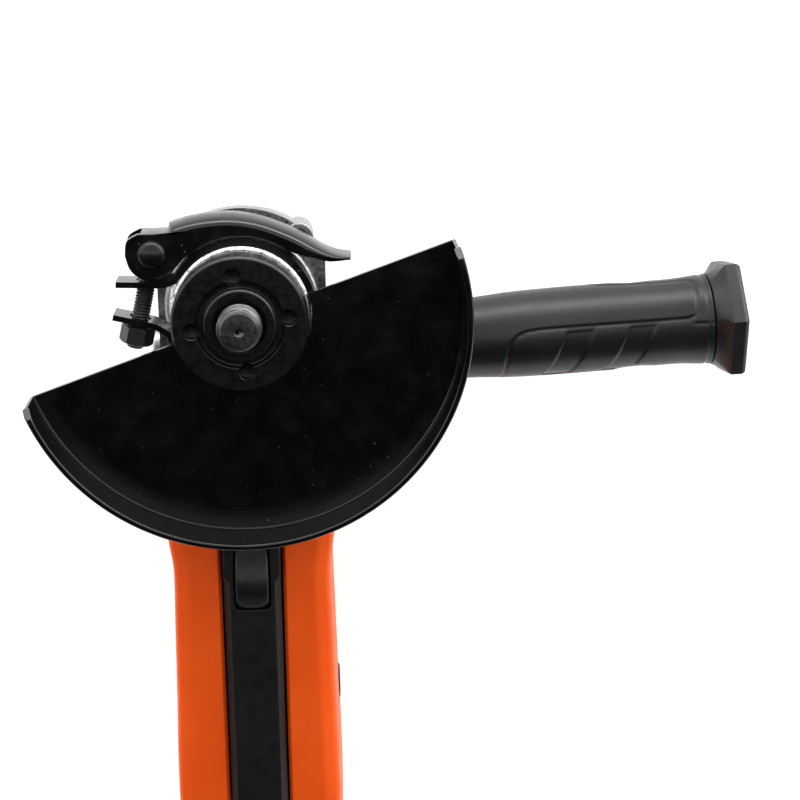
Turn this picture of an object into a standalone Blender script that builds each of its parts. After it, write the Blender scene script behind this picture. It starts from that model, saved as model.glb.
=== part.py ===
"""125 mm angle grinder lying on its back: gear head flat on the ground, spindle pointing up.

Frame: +Z is the spindle axis, the nose of the gear head points to +Y, the motor body runs
to -Y and the side handle stands out to +X. The origin is on the ground, under the spindle.
All lengths below are in millimetres and become metres when a mesh is made.
"""
import math

import bmesh
import bpy
from mathutils import Euler, Matrix, Vector

MM = 0.001
GAP = 0.3                      # clearance between pieces that touch in the real tool

# gear head
HEAD_NOSE_R = 30.0             # plan radius of the rounded nose
HEAD_SIDE = 26.6               # half width across the head
HEAD_TOP = 51.7                # height of the casting's open end
HEAD_BACK_Y = -41.7            # joint face with the motor housing
COVER_Z0, COVER_Z1 = 52.0, 58.0    # bearing cover plate
NECK_R, NECK_Z1 = 21.7, 74.4   # machined guard neck
SCREW_X, SCREW_Y = 18.6, 21.6  # cover screws, left/right and fore/aft
MOTOR_Z = 31.0                 # height of the motor axis
BUTTON_Y = -17.0               # spindle lock button

# spindle stack
THREAD_R = 6.95                # M14 thread
SPINDLE_TIP = 96.0
FLANGE_R, FLANGE_Z0, FLANGE_Z1 = 20.9, 75.7, 79.7
NUT_R, NUT_Z0, NUT_Z1 = 21.0, 80.0, 86.5
PILOT_R, PILOT_Z1 = 11.1, 88.0
PIN_CIRCLE_R, PIN_HOLE_R = 14.9, 2.6

# guard
GUARD_R = 70.2                 # outside of the skirt
GUARD_T = 1.0
BEAD_OUT, BEAD_IN = 0.5, 1.6    # the rolled rim, outside and inside of GUARD_R
PLATE_Z0, PLATE_Z1 = 73.7, 75.3
SKIRT_Z1 = 91.8
GUARD_EDGE_ANGLE = 19.4        # degrees, straight edge of the plate
GUARD_EDGE_DROP = 0.7          # the edge passes this far behind the spindle axis
BAND_R0, BAND_R1 = 22.0, 23.8
BAND_Z0, BAND_Z1 = 62.9, 73.4
PIVOT = Vector((-26.6, 19.6, 0.0))
STUD_DIR = Vector((-0.228, -0.9737, 0.0))
STUD_Z = 68.0

# motor body
CHANNEL = 9.8                  # half width of the switch channel and of the back spine
WALL = 2.8
PADDLE_FRONT, PADDLE_BACK = -80.0, -186.0
TONGUE_Y = -91.0               # axis of the lock-off tongue
# stations along the body: y, half width, height of the bottom, height of the top
BODY_STATIONS = [(-42.0, 29.0, 0.6, 58.5), (-60.0, 29.4, 0.0, 60.0), (-78.0, 28.1, 0.0, 61.0),
                 (-90.0, 26.7, 0.0, 61.5), (-112.0, 27.1, 0.0, 61.8), (-134.0, 27.5, 0.0, 62.0),
                 (-160.0, 28.2, 0.0, 62.0), (-188.0, 28.2, 0.0, 60.5), (-212.0, 27.0, 0.0, 58.5)]

# corner of the section beside the flat face: distance in from the side, distance down
SHOULDER = [(6.4, 0.0), (5.2, 0.25), (2.4, 1.3), (1.5, 2.0), (0.95, 3.4), (0.6, 7.0), (0.2, 14.0)]

# side handle
HANDLE_AT = Vector((30.6, -20.8, 34.0))
HANDLE_YAW = 3.2               # degrees toward the nose
CAP_TURN = 8.0                 # the end cap's top corner leans this far toward the nose


# ---------------------------------------------------------------- helpers
def clear_scene():
    for obj in list(bpy.data.objects):
        bpy.data.objects.remove(obj, do_unlink=True)


def make_material(name, color, rough, metal=0.0):
    mat = bpy.data.materials.new(name)
    mat.use_nodes = True
    bsdf = mat.node_tree.nodes["Principled BSDF"]
    bsdf.inputs["Base Color"].default_value = (*color, 1.0)
    bsdf.inputs["Roughness"].default_value = rough
    bsdf.inputs["Metallic"].default_value = metal
    return mat


def add_object(name, verts, faces, look, at=(0, 0, 0), rot=(0, 0, 0), smooth=True):
    """A closed mesh from millimetre points, placed by its own origin and rotation (degrees)."""
    mesh = bpy.data.meshes.new(name)
    mesh.from_pydata([Vector(v) * MM for v in verts], [], faces)
    bm = bmesh.new()
    bm.from_mesh(mesh)
    bmesh.ops.recalc_face_normals(bm, faces=bm.faces)
    bm.to_mesh(mesh)
    bm.free()
    if smooth:
        mesh.shade_smooth()
        mesh.set_sharp_from_angle(angle=math.radians(35))
    obj = bpy.data.objects.new(name, mesh)
    bpy.context.scene.collection.objects.link(obj)
    obj.location = Vector(at) * MM
    obj.rotation_euler = Euler([math.radians(a) for a in rot])
    if look:
        obj.data.materials.append(make_material(name + "_mat", *look))
    return obj


def lathe(name, profile, segments, look, at=(0, 0, 0), rot=(0, 0, 0), turn=0.0):
    """Turns a closed (radius, height) profile about the local Z axis."""
    verts, rings = [], []
    for r, z in profile:
        count = 1 if r == 0 else segments
        rings.append(list(range(len(verts), len(verts) + count)))
        for i in range(count):
            a = 2 * math.pi * i / segments + math.radians(turn)
            verts.append((r * math.cos(a), r * math.sin(a), z))
    faces = []
    for k, low in enumerate(rings):
        high = rings[(k + 1) % len(rings)]
        if len(low) == 1 and len(high) == 1:
            continue
        for i in range(segments):
            j = (i + 1) % segments
            a, b = low[i % len(low)], low[j % len(low)]
            c, d = high[j % len(high)], high[i % len(high)]
            faces.append([v for n, v in enumerate((a, b, c, d)) if v not in (a, b, c, d)[:n]])
    return add_object(name, verts, faces, look, at, rot)


def loft(name, sections, look, at=(0, 0, 0), rot=(0, 0, 0), smooth=True):
    """Joins closed sections that have the same number of points, and caps both ends."""
    count = len(sections[0])
    verts = [p for section in sections for p in section]
    faces = [list(range(count)), [count * (len(sections) - 1) + i for i in range(count)]]
    for s in range(len(sections) - 1):
        for i in range(count):
            j = (i + 1) % count
            faces.append([s * count + i, s * count + j, (s + 1) * count + j, (s + 1) * count + i])
    return add_object(name, verts, faces, look, at, rot, smooth)


def prism(name, outline, z0, z1, look, at=(0, 0, 0), rot=(0, 0, 0)):
    """An outline in the local XY plane, extruded from z0 to z1."""
    return loft(name, [[(x, y, z) for x, y in outline] for z in (z0, z1)], look, at, rot)


def box(name, low, high, look, at=(0, 0, 0), rot=(0, 0, 0)):
    outline = [(low[0], low[1]), (high[0], low[1]), (high[0], high[1]), (low[0], high[1])]
    return prism(name, outline, low[2], high[2], look, at, rot)


def bevel(obj, width, segments=2, angle=40):
    mod = obj.modifiers.new("edges", "BEVEL")
    mod.width = width * MM
    mod.segments = segments
    mod.limit_method = "ANGLE"
    mod.angle_limit = math.radians(angle)
    return obj


def boolean(obj, other, operation="DIFFERENCE"):
    """Adds a Boolean; the second object stays in the file as a hidden wire guide."""
    other.hide_render = True
    other.display_type = "WIRE"
    mod = obj.modifiers.new("shape", "BOOLEAN")
    mod.operation = operation
    mod.object = other
    mod.solver = "EXACT"
    return obj


def cut_cylinder(obj, r, z0, z1, at=(0, 0, 0), rot=(0, 0, 0), segments=24, r2=None):
    top = r if r2 is None else r2
    tool = lathe("cut", [(0, z0), (r, z0), (top, z1), (0, z1)], segments, None, at, rot)
    return boolean(obj, tool)


def arc(cx, cy, r, a0, a1, steps):
    """Points on an arc, both ends included; angles in degrees."""
    span = [math.radians(a0 + (a1 - a0) * i / steps) for i in range(steps + 1)]
    return [(cx + r * math.cos(a), cy + r * math.sin(a)) for a in span]


def strip(path, thickness):
    """The outline of a sheet-metal strip that follows a path, seen along its width."""
    pts = [Vector(p) for p in path]
    left, right = [], []
    for i, p in enumerate(pts):
        before = (p - pts[i - 1]).normalized() if i else None
        after = (pts[i + 1] - p).normalized() if i + 1 < len(pts) else None
        along = ((before or after) + (after or before)).normalized()
        normal = Vector((-along.y, along.x))
        reach = thickness / 2 / max(0.5, normal.dot(Vector((-(after or before).y, (after or before).x))))
        left.append(tuple(p + normal * reach))
        right.append(tuple(p - normal * reach))
    return left + right[::-1]


def empty(name, at, rot=(0, 0, 0)):
    obj = bpy.data.objects.new(name, None)
    bpy.context.scene.collection.objects.link(obj)
    obj.location = Vector(at) * MM
    obj.rotation_euler = Euler([math.radians(a) for a in rot])
    return obj


def attach(parent, *children):
    for child in children:
        child.parent = parent


# colours: linear RGB, roughness, metallic
ORANGE = ((0.80, 0.11, 0.018), 0.42)
BLACK_PLASTIC = ((0.014, 0.014, 0.015), 0.42)
BLACK_RUBBER = ((0.012, 0.012, 0.013), 0.6)
BLACK_PAINT = ((0.008, 0.008, 0.009), 0.18)
BLACK_STEEL = ((0.02, 0.02, 0.022), 0.32, 0.6)
CAST_ALLOY = ((0.60, 0.61, 0.62), 0.5, 0.75)
STEEL = ((0.45, 0.45, 0.46), 0.3, 1.0)
COPPER = ((0.75, 0.30, 0.12), 0.35, 1.0)
CARBON = ((0.03, 0.03, 0.03), 0.7)


# ---------------------------------------------------------------- gear head
def head_outline(side, nose_y, back_half):
    """Plan of the gear head: round nose, straight sides, a wider joint flange at the back."""
    nose = []
    for x, y in arc(0, 0, 1.0, 0, 180, 16):
        nose.append((side * math.copysign(abs(x) ** 0.86, x), nose_y * y ** 0.92))
    back = [(-side, -30.0), (-back_half, -37.0), (-back_half, HEAD_BACK_Y)]
    return nose + back + [(-x, y) for x, y in reversed(back)]


def handle_socket(side):
    """Place and direction of the side handle's thread on the right (1) or left (-1) side."""
    return {"at": (side * HANDLE_AT.x, HANDLE_AT.y, HANDLE_AT.z), "rot": (0, side * 90, side * HANDLE_YAW)}


def gear_housing():
    levels = [(0.0, 21.6, 17.6, 26.0), (1.6, 24.0, 20.2, 28.0), (5.0, 25.2, 22.2, 28.6),
              (14.0, 26.2, 24.6, 28.6), (30.0, 26.8, 27.2, 28.6), (44.0, 26.8, 29.2, 28.6),
              (HEAD_TOP, 26.6, HEAD_NOSE_R, 28.4)]
    sections = [[(x, y, z) for x, y in head_outline(side, nose, back)] for z, side, nose, back in levels]
    body = loft("gear_housing", sections, CAST_ALLOY)
    for side in (1, -1):
        boss = lathe("boss", [(0, -10), (9.6, -10), (9.6, -0.8), (8.8, 0), (0, 0)], 20, None,
                     **handle_socket(side))
        boolean(body, boss, "UNION")
    for x in (SCREW_X, -SCREW_X):
        for y in (SCREW_Y, -SCREW_Y):
            post = lathe("post", [(0, 40.0), (1.5, 40.0), (4.4, 44.5), (4.4, HEAD_TOP), (0, HEAD_TOP)],
                         14, None, at=(x, y, 0))
            boolean(body, post, "UNION")
    cut_cylinder(body, 21.4, 10.0, 60.0, r2=23.0)                            # gear chamber
    cut_cylinder(body, 19.0, 0.0, 60.0, at=(0, -15, MOTOR_Z), rot=(90, 0, 0))    # to the motor
    for side in (1, -1):
        cut_cylinder(body, 4.4, -12.0, 2.0, segments=16, **handle_socket(side))
        for y in (SCREW_Y, -SCREW_Y):
            cut_cylinder(body, 2.2, 43.0, 60.0, at=(side * SCREW_X, y, 0), segments=10)
    cut_cylinder(body, 8.3, -1.0, 7.2, at=(0, BUTTON_Y, 0), segments=20)         # button recess
    cut_cylinder(body, 3.4, 3.0, 12.0, at=(0, BUTTON_Y, 0), segments=12)
    return body


def bearing_cover():
    """Square cover with four screw lobes and the round neck that carries the guard."""
    turn = math.degrees(math.acos(HEAD_SIDE / 31.0))
    nose = arc(0, 0, 31.0, turn, 180 - turn, 14)
    tail = arc(0, 0, 31.0, 180 + turn, 360 - turn, 14)
    plate = prism("bearing_cover", nose + tail, COVER_Z0, COVER_Z1, CAST_ALLOY)
    bevel(plate, 0.8, 1)
    for x in (SCREW_X, -SCREW_X):
        for y in (SCREW_Y, -SCREW_Y):
            lobe = lathe("lobe", [(0, COVER_Z0), (4.5, COVER_Z0), (4.5, COVER_Z1 + 0.4),
                                  (4.1, COVER_Z1 + 0.8), (0, COVER_Z1 + 0.8)], 14, None, at=(x, y, 0))
            boolean(plate, lobe, "UNION")
    neck = lathe("neck", [(0, 53.0), (24.4, 53.0), (24.4, 60.4), (NECK_R, 62.2),
                          (NECK_R, NECK_Z1 - 1.0), (NECK_R - 1.0, NECK_Z1), (0, NECK_Z1)], 40, None)
    boolean(plate, neck, "UNION")
    cut_cylinder(plate, 16.3, 50.0, 66.0, segments=32)           # bearing seat
    cut_cylinder(plate, 10.4, 65.0, 80.0, segments=32)           # spindle clearance
    for x in (SCREW_X, -SCREW_X):
        for y in (SCREW_Y, -SCREW_Y):
            cut_cylinder(plate, 2.2, 50.0, 62.0, at=(x, y, 0), segments=10)
    return plate


def cover_screws():
    """Black pan-head screws with a six-lobe recess, modelled as a hexagonal socket."""
    for n, (x, y) in enumerate([(1, 1), (-1, 1), (-1, -1), (1, -1)]):
        top = COVER_Z1 + 1.1
        screw = lathe("cover_screw_%d" % (n + 1),
                      [(0, 43.6), (1.9, 43.6), (1.9, top), (3.6, top), (3.6, top + 1.0),
                       (2.8, top + 1.7), (0, top + 1.7)], 14, BLACK_STEEL,
                      at=(x * SCREW_X, y * SCREW_Y, 0))
        cut_cylinder(screw, 1.7, top + 0.5, top + 4.0, at=(x * SCREW_X, y * SCREW_Y, 0), segments=6)


def lock_button():
    """Push button in the head, with the pin that locks the crown gear; sprung outwards."""
    lathe("lock_button", [(0, 0.9), (6.6, 0.9), (7.6, 1.6), (7.6, 4.0), (2.9, 4.0),
                                   (2.9, 13.6), (0, 13.6)], 20, BLACK_PLASTIC, at=(0, BUTTON_Y, 0))


def spindle_group():
    """Everything that turns with the spindle."""
    lathe("spindle", [(0, 10.4), (4.0, 10.4), (4.6, 11.0), (4.6, 18.0), (8.0, 18.0), (8.0, 73.0),
                      (9.6, 73.0), (9.6, 75.4), (THREAD_R, 75.4), (THREAD_R, 93.2), (5.5, SPINDLE_TIP),
                      (1.5, SPINDLE_TIP), (0, SPINDLE_TIP - 1.6)], 24, STEEL)
    crown_gear()
    lathe("backing_flange", [(THREAD_R + GAP, FLANGE_Z0), (19.6, FLANGE_Z0), (FLANGE_R, FLANGE_Z0 + 1.0),
                             (FLANGE_R, FLANGE_Z1), (THREAD_R + GAP, FLANGE_Z1)], 40, BLACK_STEEL)
    nut = lathe("clamp_nut", [(THREAD_R + GAP, NUT_Z0), (NUT_R, NUT_Z0), (NUT_R, NUT_Z1 - 0.7),
                              (NUT_R - 0.7, NUT_Z1), (13.4, NUT_Z1), (13.0, NUT_Z1 - 1.0),
                              (PILOT_R, NUT_Z1 - 1.0), (PILOT_R, PILOT_Z1 - 0.6),
                              (PILOT_R - 0.6, PILOT_Z1), (8.0, PILOT_Z1),
                              (THREAD_R + GAP, PILOT_Z1 - 0.8)], 40, BLACK_STEEL)
    for k in range(4):
        a = math.radians(97 + 90 * k)
        cut_cylinder(nut, PIN_HOLE_R, NUT_Z1 - 4.5, NUT_Z1 + 3, segments=14,
                     at=(PIN_CIRCLE_R * math.cos(a), PIN_CIRCLE_R * math.sin(a), 0))


GEAR_TEETH, PINION_TEETH = 27, 9
GEAR_R0, GEAR_R1 = 13.8, 19.4        # tooth face of the crown gear, inner and outer radius
# every tooth surface of the pair points at the crossing of the two axes, so heights and
# radii are slopes from that point
CROWN_ROOT, CROWN_TIP = 0.389, 0.298
PINION_ROOT, PINION_TIP = 0.283, 0.370


def crown_gear():
    """Bevel gear on the spindle; its straight teeth stand toward the pinion above it."""
    top = [(r, MOTOR_Z - CROWN_ROOT * r) for r in (19.9, 13.2)]
    blank = lathe("crown_gear", [(8.3, 18.6), (19.3, 18.6), (19.9, 19.4), *top, (11.4, 27.0), (8.3, 27.0)],
                  54, STEEL)
    verts, faces = [], []
    for k in range(GEAR_TEETH):
        a = math.radians(270) + 2 * math.pi * (k + 0.5) / GEAR_TEETH
        along = Vector((math.cos(a), math.sin(a), 0))
        across = Vector((-math.sin(a), math.cos(a), 0))
        base = len(verts)
        for r in (GEAR_R0, GEAR_R1):
            for half, slope in ((0.045, CROWN_ROOT + 0.02), (0.03, CROWN_TIP)):
                for side in (-1, 1):
                    p = along * r + across * (side * half * r)
                    verts.append((p.x, p.y, MOTOR_Z - slope * r))
        quads = [(0, 1, 3, 2), (4, 5, 7, 6), (0, 1, 5, 4), (2, 3, 7, 6), (0, 2, 6, 4), (1, 3, 7, 5)]
        faces += [[base + i for i in q] for q in quads]
    teeth = add_object("crown_teeth", verts, faces, None)
    return boolean(blank, teeth, "UNION")


def ball_bearings():
    """Fixed outer races; the balls and inner races are not seen and are left out."""
    lathe("spindle_bearing_top", [(8.4, 54.0), (16.0, 54.0), (16.0, 64.7), (8.4, 64.7)], 28, STEEL)
    lathe("spindle_bearing_bottom", [(5.0, 10.4), (9.4, 10.4), (9.4, 17.4), (5.0, 17.4)], 20, STEEL)


# ---------------------------------------------------------------- guard and clamp
def guard():
    """Half-round plate with a deep skirt, rolled at its rim, with corners trimmed off."""
    drop = math.degrees(math.asin(GUARD_EDGE_DROP / GUARD_R))
    a0, a1 = 180 + GUARD_EDGE_ANGLE + drop, 360 + GUARD_EDGE_ANGLE - drop
    steps = 44
    rim = arc(0, 0, GUARD_R, a0, a1, steps)
    mouth = arc(0, 0, BAND_R0, a1, a0, 18)
    plate = prism("guard", rim + mouth, PLATE_Z0, PLATE_Z1, BLACK_PAINT)
    outer, inner = GUARD_R + BEAD_OUT, GUARD_R - BEAD_IN
    wall = [(GUARD_R, PLATE_Z0 + 0.6), (GUARD_R, SKIRT_Z1 - 3.2), (outer, SKIRT_Z1 - 2.6),
            (outer, SKIRT_Z1 - 0.5), (outer - 0.5, SKIRT_Z1), (inner + 0.4, SKIRT_Z1),
            (inner, SKIRT_Z1 - 0.5), (inner, SKIRT_Z1 - 2.6),
            (GUARD_R - GUARD_T, SKIRT_Z1 - 3.2), (GUARD_R - GUARD_T, PLATE_Z0 + 0.6)]
    sections = []
    for k in range(steps + 1):
        a = math.radians(a0 + (a1 - a0) * k / steps)
        sections.append([(r * math.cos(a), r * math.sin(a), z) for r, z in wall])
    skirt = loft("skirt", sections, None)
    boolean(plate, skirt, "UNION")
    for end in (a0, a1):                         # trimmed corner of the rim at each end
        a = math.radians(end)
        corner = (GUARD_R * math.cos(a), GUARD_R * math.sin(a), SKIRT_Z1)
        tool = box("trim", (-6, -2.2, -2.2), (6, 2.2, 2.2), None, at=corner,
                   rot=(45, 0, end))
        boolean(plate, tool)
    return plate


def clamp_band():
    """Sheet band round the neck, its two ends bent out as ears that the stud pulls together."""
    mid = (BAND_R0 + BAND_R1) / 2
    upper = [(-38.0, 10.5), (-23.6, 10.0), (-21.6, 10.5)]
    lower = [(-23.0, -4.5), (-26.0, -3.0), (-39.4, 0.3)]
    ring = arc(0, 0, mid, 151.3, -166.0, 36)
    band = prism("clamp_band", strip(upper + ring + lower, 1.8), BAND_Z0, BAND_Z1, BLACK_PAINT)
    cut_along_stud(band, 3.4, 4.0, 27.0)
    return band


def stud_matrix():
    """Frame whose Z axis runs down the clamp stud from the pivot."""
    return Matrix.Translation(Vector((PIVOT.x, PIVOT.y, STUD_Z)) * MM) @ \
        STUD_DIR.to_track_quat("Z", "Y").to_matrix().to_4x4()


def cut_along_stud(obj, r, s0, s1):
    tool = lathe("cut", [(0, s0), (r, s0), (r, s1), (0, s1)], 16, None)
    tool.matrix_world = stud_matrix()
    return boolean(obj, tool)


def clamp_stud():
    """Eye bolt: the eye turns on the pivot pin and the thread passes both ears."""
    stud = lathe("clamp_stud", [(0, 3.0), (2.8, 3.0), (2.8, 30.3), (2.2, 30.9), (0, 30.9)], 16, BLACK_STEEL)
    stud.matrix_world = stud_matrix()
    eye = lathe("eye", [(0, -2.6), (4.6, -2.6), (4.6, 2.6), (0, 2.6)], 20, None,
                at=(PIVOT.x, PIVOT.y, STUD_Z))
    boolean(stud, eye, "UNION")
    cut_cylinder(stud, 2.6, -4, 4, at=(PIVOT.x, PIVOT.y, STUD_Z), segments=16)
    return stud


def clamp_nut_small():
    """Adjusting nut under the lower ear."""
    nut = lathe("adjusting_nut", [(0, 23.7), (5.0, 23.7), (5.3, 24.2), (5.3, 28.9), (5.0, 29.4),
                                  (0, 29.4)], 6, BLACK_STEEL, turn=30)
    nut.matrix_world = stud_matrix()
    return cut_along_stud(nut, 3.2, 20.0, 36.0)


def clamp_lever():
    """Over-centre lever: cam cheeks at the pivot, arm curling over the neck to a thin tip."""
    outer = [(-35.0, 19.4), (-34.2, 24.0), (-30.6, 26.2), (-22.0, 26.2), (-21.4, 28.2), (-16.0, 29.8),
             (-9.0, 30.9), (-1.0, 31.0), (7.0, 29.5), (14.6, 26.6), (20.2, 23.8), (25.8, 20.4),
             (30.2, 18.4), (34.6, 17.6)]
    inner = [(34.4, 16.4), (28.0, 15.9), (23.6, 17.0), (17.4, 18.6), (12.4, 21.4), (6.4, 23.8),
             (0.0, 24.6), (-6.4, 23.8), (-12.0, 21.5), (-17.0, 17.8), (-19.4, 15.2), (-24.4, 12.6),
             (-29.4, 11.7), (-33.4, 14.6)]
    outline = [(x - PIVOT.x, y - PIVOT.y) for x, y in outer + inner]
    lever = prism("clamp_lever", outline, 62.2, 73.4, BLACK_PAINT, at=(PIVOT.x, PIVOT.y, 0))
    slot = [(x - PIVOT.x, y - PIVOT.y) for x, y in
            [(-40, 8), (-40, 30), (-30.6, 30), (-29.4, 24.4), (-20.6, 24.4), (-14.0, 27.6),
             (-1.0, 29.0), (7.0, 27.5), (14.0, 24.6), (20.0, 21.6), (23.0, 18.0), (23.0, 10.0),
             (0, 8)]]
    tool = prism("cut", slot, 64.2, 71.4, None, at=(PIVOT.x, PIVOT.y, 0))
    boolean(lever, tool)
    cut_cylinder(lever, 2.5, 60, 76, at=(PIVOT.x, PIVOT.y, 0), segments=16)
    return lever


def pivot_pin():
    """Rivet the lever and the eye bolt turn on; its domed head stands above the lever."""
    return lathe("pivot_pin", [(0, 61.2), (3.4, 61.2), (3.4, 61.9), (2.2, 61.9), (2.2, 73.7),
                               (4.4, 73.7), (4.2, 74.6), (3.2, 75.6), (1.7, 76.2), (0, 76.4)], 20,
                 BLACK_STEEL, at=(PIVOT.x, PIVOT.y, 0))


# ---------------------------------------------------------------- motor body
def body_half(half_w, z0, z1, inset, from_x):
    """One side of the section: flat face with a crease near its outer edge, rounder back."""
    r = 13.0 - inset
    w, low, high = half_w - inset, z0 + inset, z1 - inset
    pts = [(from_x, high)] + [(w - dx, high - dz) for dx, dz in SHOULDER]
    pts += [(w + 0.4, (low + high) / 2), (w, low + r)]
    pts += [(w - r + r * math.cos(math.radians(a)), low + r - r * math.sin(math.radians(a)))
            for a in (15, 30, 45, 60, 75)]
    return pts + [(w - r, low), (from_x, low)]


def body_shell(name, side):
    """One orange half of the motor body: side 1 is right, -1 is left."""
    sections = []
    for y, half_w, z0, z1 in BODY_STATIONS:
        ring = body_half(half_w, z0, z1, 0, CHANNEL + GAP)
        ring += reversed(body_half(half_w, z0, z1, WALL, CHANNEL + GAP))
        sections.append([(side * x, y, z) for x, z in ring])
    shell = loft(name, sections, ORANGE)
    cut_cylinder(shell, 6.8, 0, 12, at=(side * 20.6, -142.0, MOTOR_Z), rot=(0, side * 90, 0), segments=20)
    for k in range(4):                                           # exhaust slots behind the head
        slot = box("slot", (-8, -1.2, -8), (8, 1.2, 8), None, at=(side * 29, -50.0 - 5.0 * k, 34.0))
        boolean(shell, slot)
    if side < 0:
        for y, z in SHELL_SCREWS:
            cut_cylinder(shell, 3.5, 0, 14, at=(-16.0, y, z), rot=(0, -90, 0), segments=14)
    return shell


def back_spine():
    """Black strip that closes the body along its back."""
    sections = []
    for y, _half, z0, _z1 in BODY_STATIONS:
        c = CHANNEL
        sections.append([(-c, y, z0), (c, y, z0), (c, y, z0 + WALL), (-c, y, z0 + WALL)])
    return loft("back_spine", sections, BLACK_PLASTIC, smooth=False)


def switch_tray():
    """Black floor of the switch channel, with a raised bridge in front and a slot beneath."""
    c = CHANNEL
    tops = [(-42.3, 57.6), (-60.0, 59.2), (-74.0, 60.4), (-75.0, 54.0), (-211.7, 54.0)]
    sections = []
    for y, z1 in tops:
        z0 = 52.4 if y < -70 else z1 - 3.0
        sections.append([(-c, y, z0), (c, y, z0), (c, y, z1), (-c, y, z1)])
    return loft("switch_tray", sections, BLACK_PLASTIC, smooth=False)


def paddle():
    """Long paddle switch in the channel, hinged at its rear end."""
    half, y0, y1 = CHANNEL - 0.3, PADDLE_FRONT, PADDLE_BACK
    sections = []
    tops = ((y0, 63.4, 0.4), (y0 - 9.4, 63.7, 0.4), (y0 - 12.2, 63.8, 2.2), (y0 - 38, 64.0, 2.2),
            (y1 + 16, 64.0, 2.2), (y1 + 4, 62.8, 2.2), (y1, 61.0, 1.6))
    for y, z1, side in tops:
        sections.append([(-half, y, 57.6), (half, y, 57.6), (half, y, z1 - side * 1.1),
                         (half - side, y, z1), (-half + side, y, z1), (-half, y, z1 - side * 1.1)])
    pivot_y, pivot_z = PADDLE_BACK + 3.0, 59.0
    moved = [[(x, y - pivot_y, z - pivot_z) for x, y, z in s] for s in sections]
    obj = loft("paddle_switch", moved, BLACK_PLASTIC, at=(0, pivot_y, pivot_z), smooth=False)
    pocket = box("cut", (-5.9, y0 - 21.4, 58.6), (5.9, y0 + 5, 70), None)
    return boolean(obj, pocket)


def lock_tongue():
    """Lock-off tongue: a rounded tab with a convex face, hinged across the paddle's front."""
    pivot_y, pivot_z = TONGUE_Y, 61.6
    sections = []
    profile = [(12.6, 0.0, 5.3), (9.0, 1.6, 5.4), (4.0, 3.9, 5.4), (0.0, 5.0, 5.4), (-4.0, 4.9, 5.4),
               (-7.0, 3.9, 5.3), (-8.6, 3.2, 4.4), (-9.4, 2.6, 3.0)]
    for y, z, half in profile:
        low = max(z - 3.0, -1.8)
        sections.append([(-half, y, low), (half, y, low), (half, y, z - 0.7),
                         (half - 0.8, y, z), (-half + 0.8, y, z), (-half, y, z - 0.7)])
    return loft("lock_off_tongue", sections, BLACK_PLASTIC, at=(0, pivot_y, pivot_z))


def whole_sections(stations):
    """Both sides of the body's section at each station (y, half width, bottom, top)."""
    sections = []
    for y, half_w, z0, z1 in stations:
        ring = body_half(half_w, z0, z1, 0, 0.0)
        left = [(-x, z) for x, z in reversed(ring[1:-1])]
        sections.append([(x, y, z) for x, z in ring + left])
    return sections


def rear_cover():
    """Black end cap: carries the cord gland, air slots at both sides."""
    stations = [(-212.3, 27.2, 0.0, 58.5), (-226.0, 26.6, 0.0, 57.4), (-244.0, 24.6, 0.0, 54.0),
                (-258.0, 21.4, 2.6, 48.6), (-264.0, 17.6, 6.8, 43.6)]
    hollow = [(-208.0, 24.3, 3.0, 55.6), (-244.0, 21.5, 3.1, 50.7), (-257.0, 17.3, 6.5, 44.7)]
    cover = loft("rear_cover", whole_sections(stations), BLACK_PLASTIC)
    boolean(cover, loft("cut", whole_sections(hollow), None))
    for side in (1, -1):
        for k in range(5):
            slot = box("slot", (-8, -1.3, -10.4), (8, 1.3, 10.4), None,
                       at=(side * 26, -219.0 - 5.4 * k, 29.0))
            boolean(cover, slot)
    cut_cylinder(cover, 6.4, 0, 20, at=(0, -250, 25.5), rot=(90, 0, 0), segments=20)
    return cover


def cord_gland():
    """Collar in the rear cover where the mains cord enters."""
    return lathe("cord_gland", [(3.9, 4.0), (6.0, 4.0), (6.0, 14.4), (8.4, 14.4), (8.0, 18.0),
                                (6.6, 20.0), (3.9, 20.0)], 18, BLACK_RUBBER,
                 at=(0, -250, 25.5), rot=(90, 0, 0))


SHELL_SCREWS = [(-54.0, 14.0), (-110.0, 12.0), (-176.0, 14.0), (-200.0, 46.0)]   # y, z


def shell_screws():
    """Screws sunk in the left shell."""
    for n, (y, z) in enumerate(SHELL_SCREWS):
        screw = lathe("shell_screw_%d" % (n + 1), [(0, 0), (1.7, 0), (1.7, 8.0), (3.1, 8.0), (3.1, 9.4),
                                                   (2.5, 10.0), (0, 10.0)], 14, BLACK_STEEL,
                      at=(-16.0, y, z), rot=(0, -90, 0))
        cut_cylinder(screw, 1.4, 9.0, 12.0, segments=6, at=(-16.0, y, z), rot=(0, -90, 0))


def brush_caps():
    """Slotted screw caps over the brushes, flush with both shells."""
    for side, tag in ((1, "right"), (-1, "left")):
        place = {"at": (side * 20.6, -142.0, MOTOR_Z), "rot": (0, side * 90, 0)}
        cap = lathe("brush_cap_" + tag, [(0, 0), (5.0, 0), (5.0, 5.0), (6.4, 5.6), (6.4, 7.4), (5.9, 7.9),
                                         (0, 7.9)], 20, BLACK_PLASTIC, **place)
        boolean(cap, box("slot", (-0.9, -5.2, 6.8), (0.9, 5.2, 9.0), None, **place))


# ---------------------------------------------------------------- motor inside
def along_motor(name, profile, segments, look, turn=0.0):
    """Turned piece on the motor axis; profile heights run backward from the gear head."""
    return lathe(name, profile, segments, look, at=(0, 0, MOTOR_Z), rot=(90, 0, 0), turn=turn)


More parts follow.
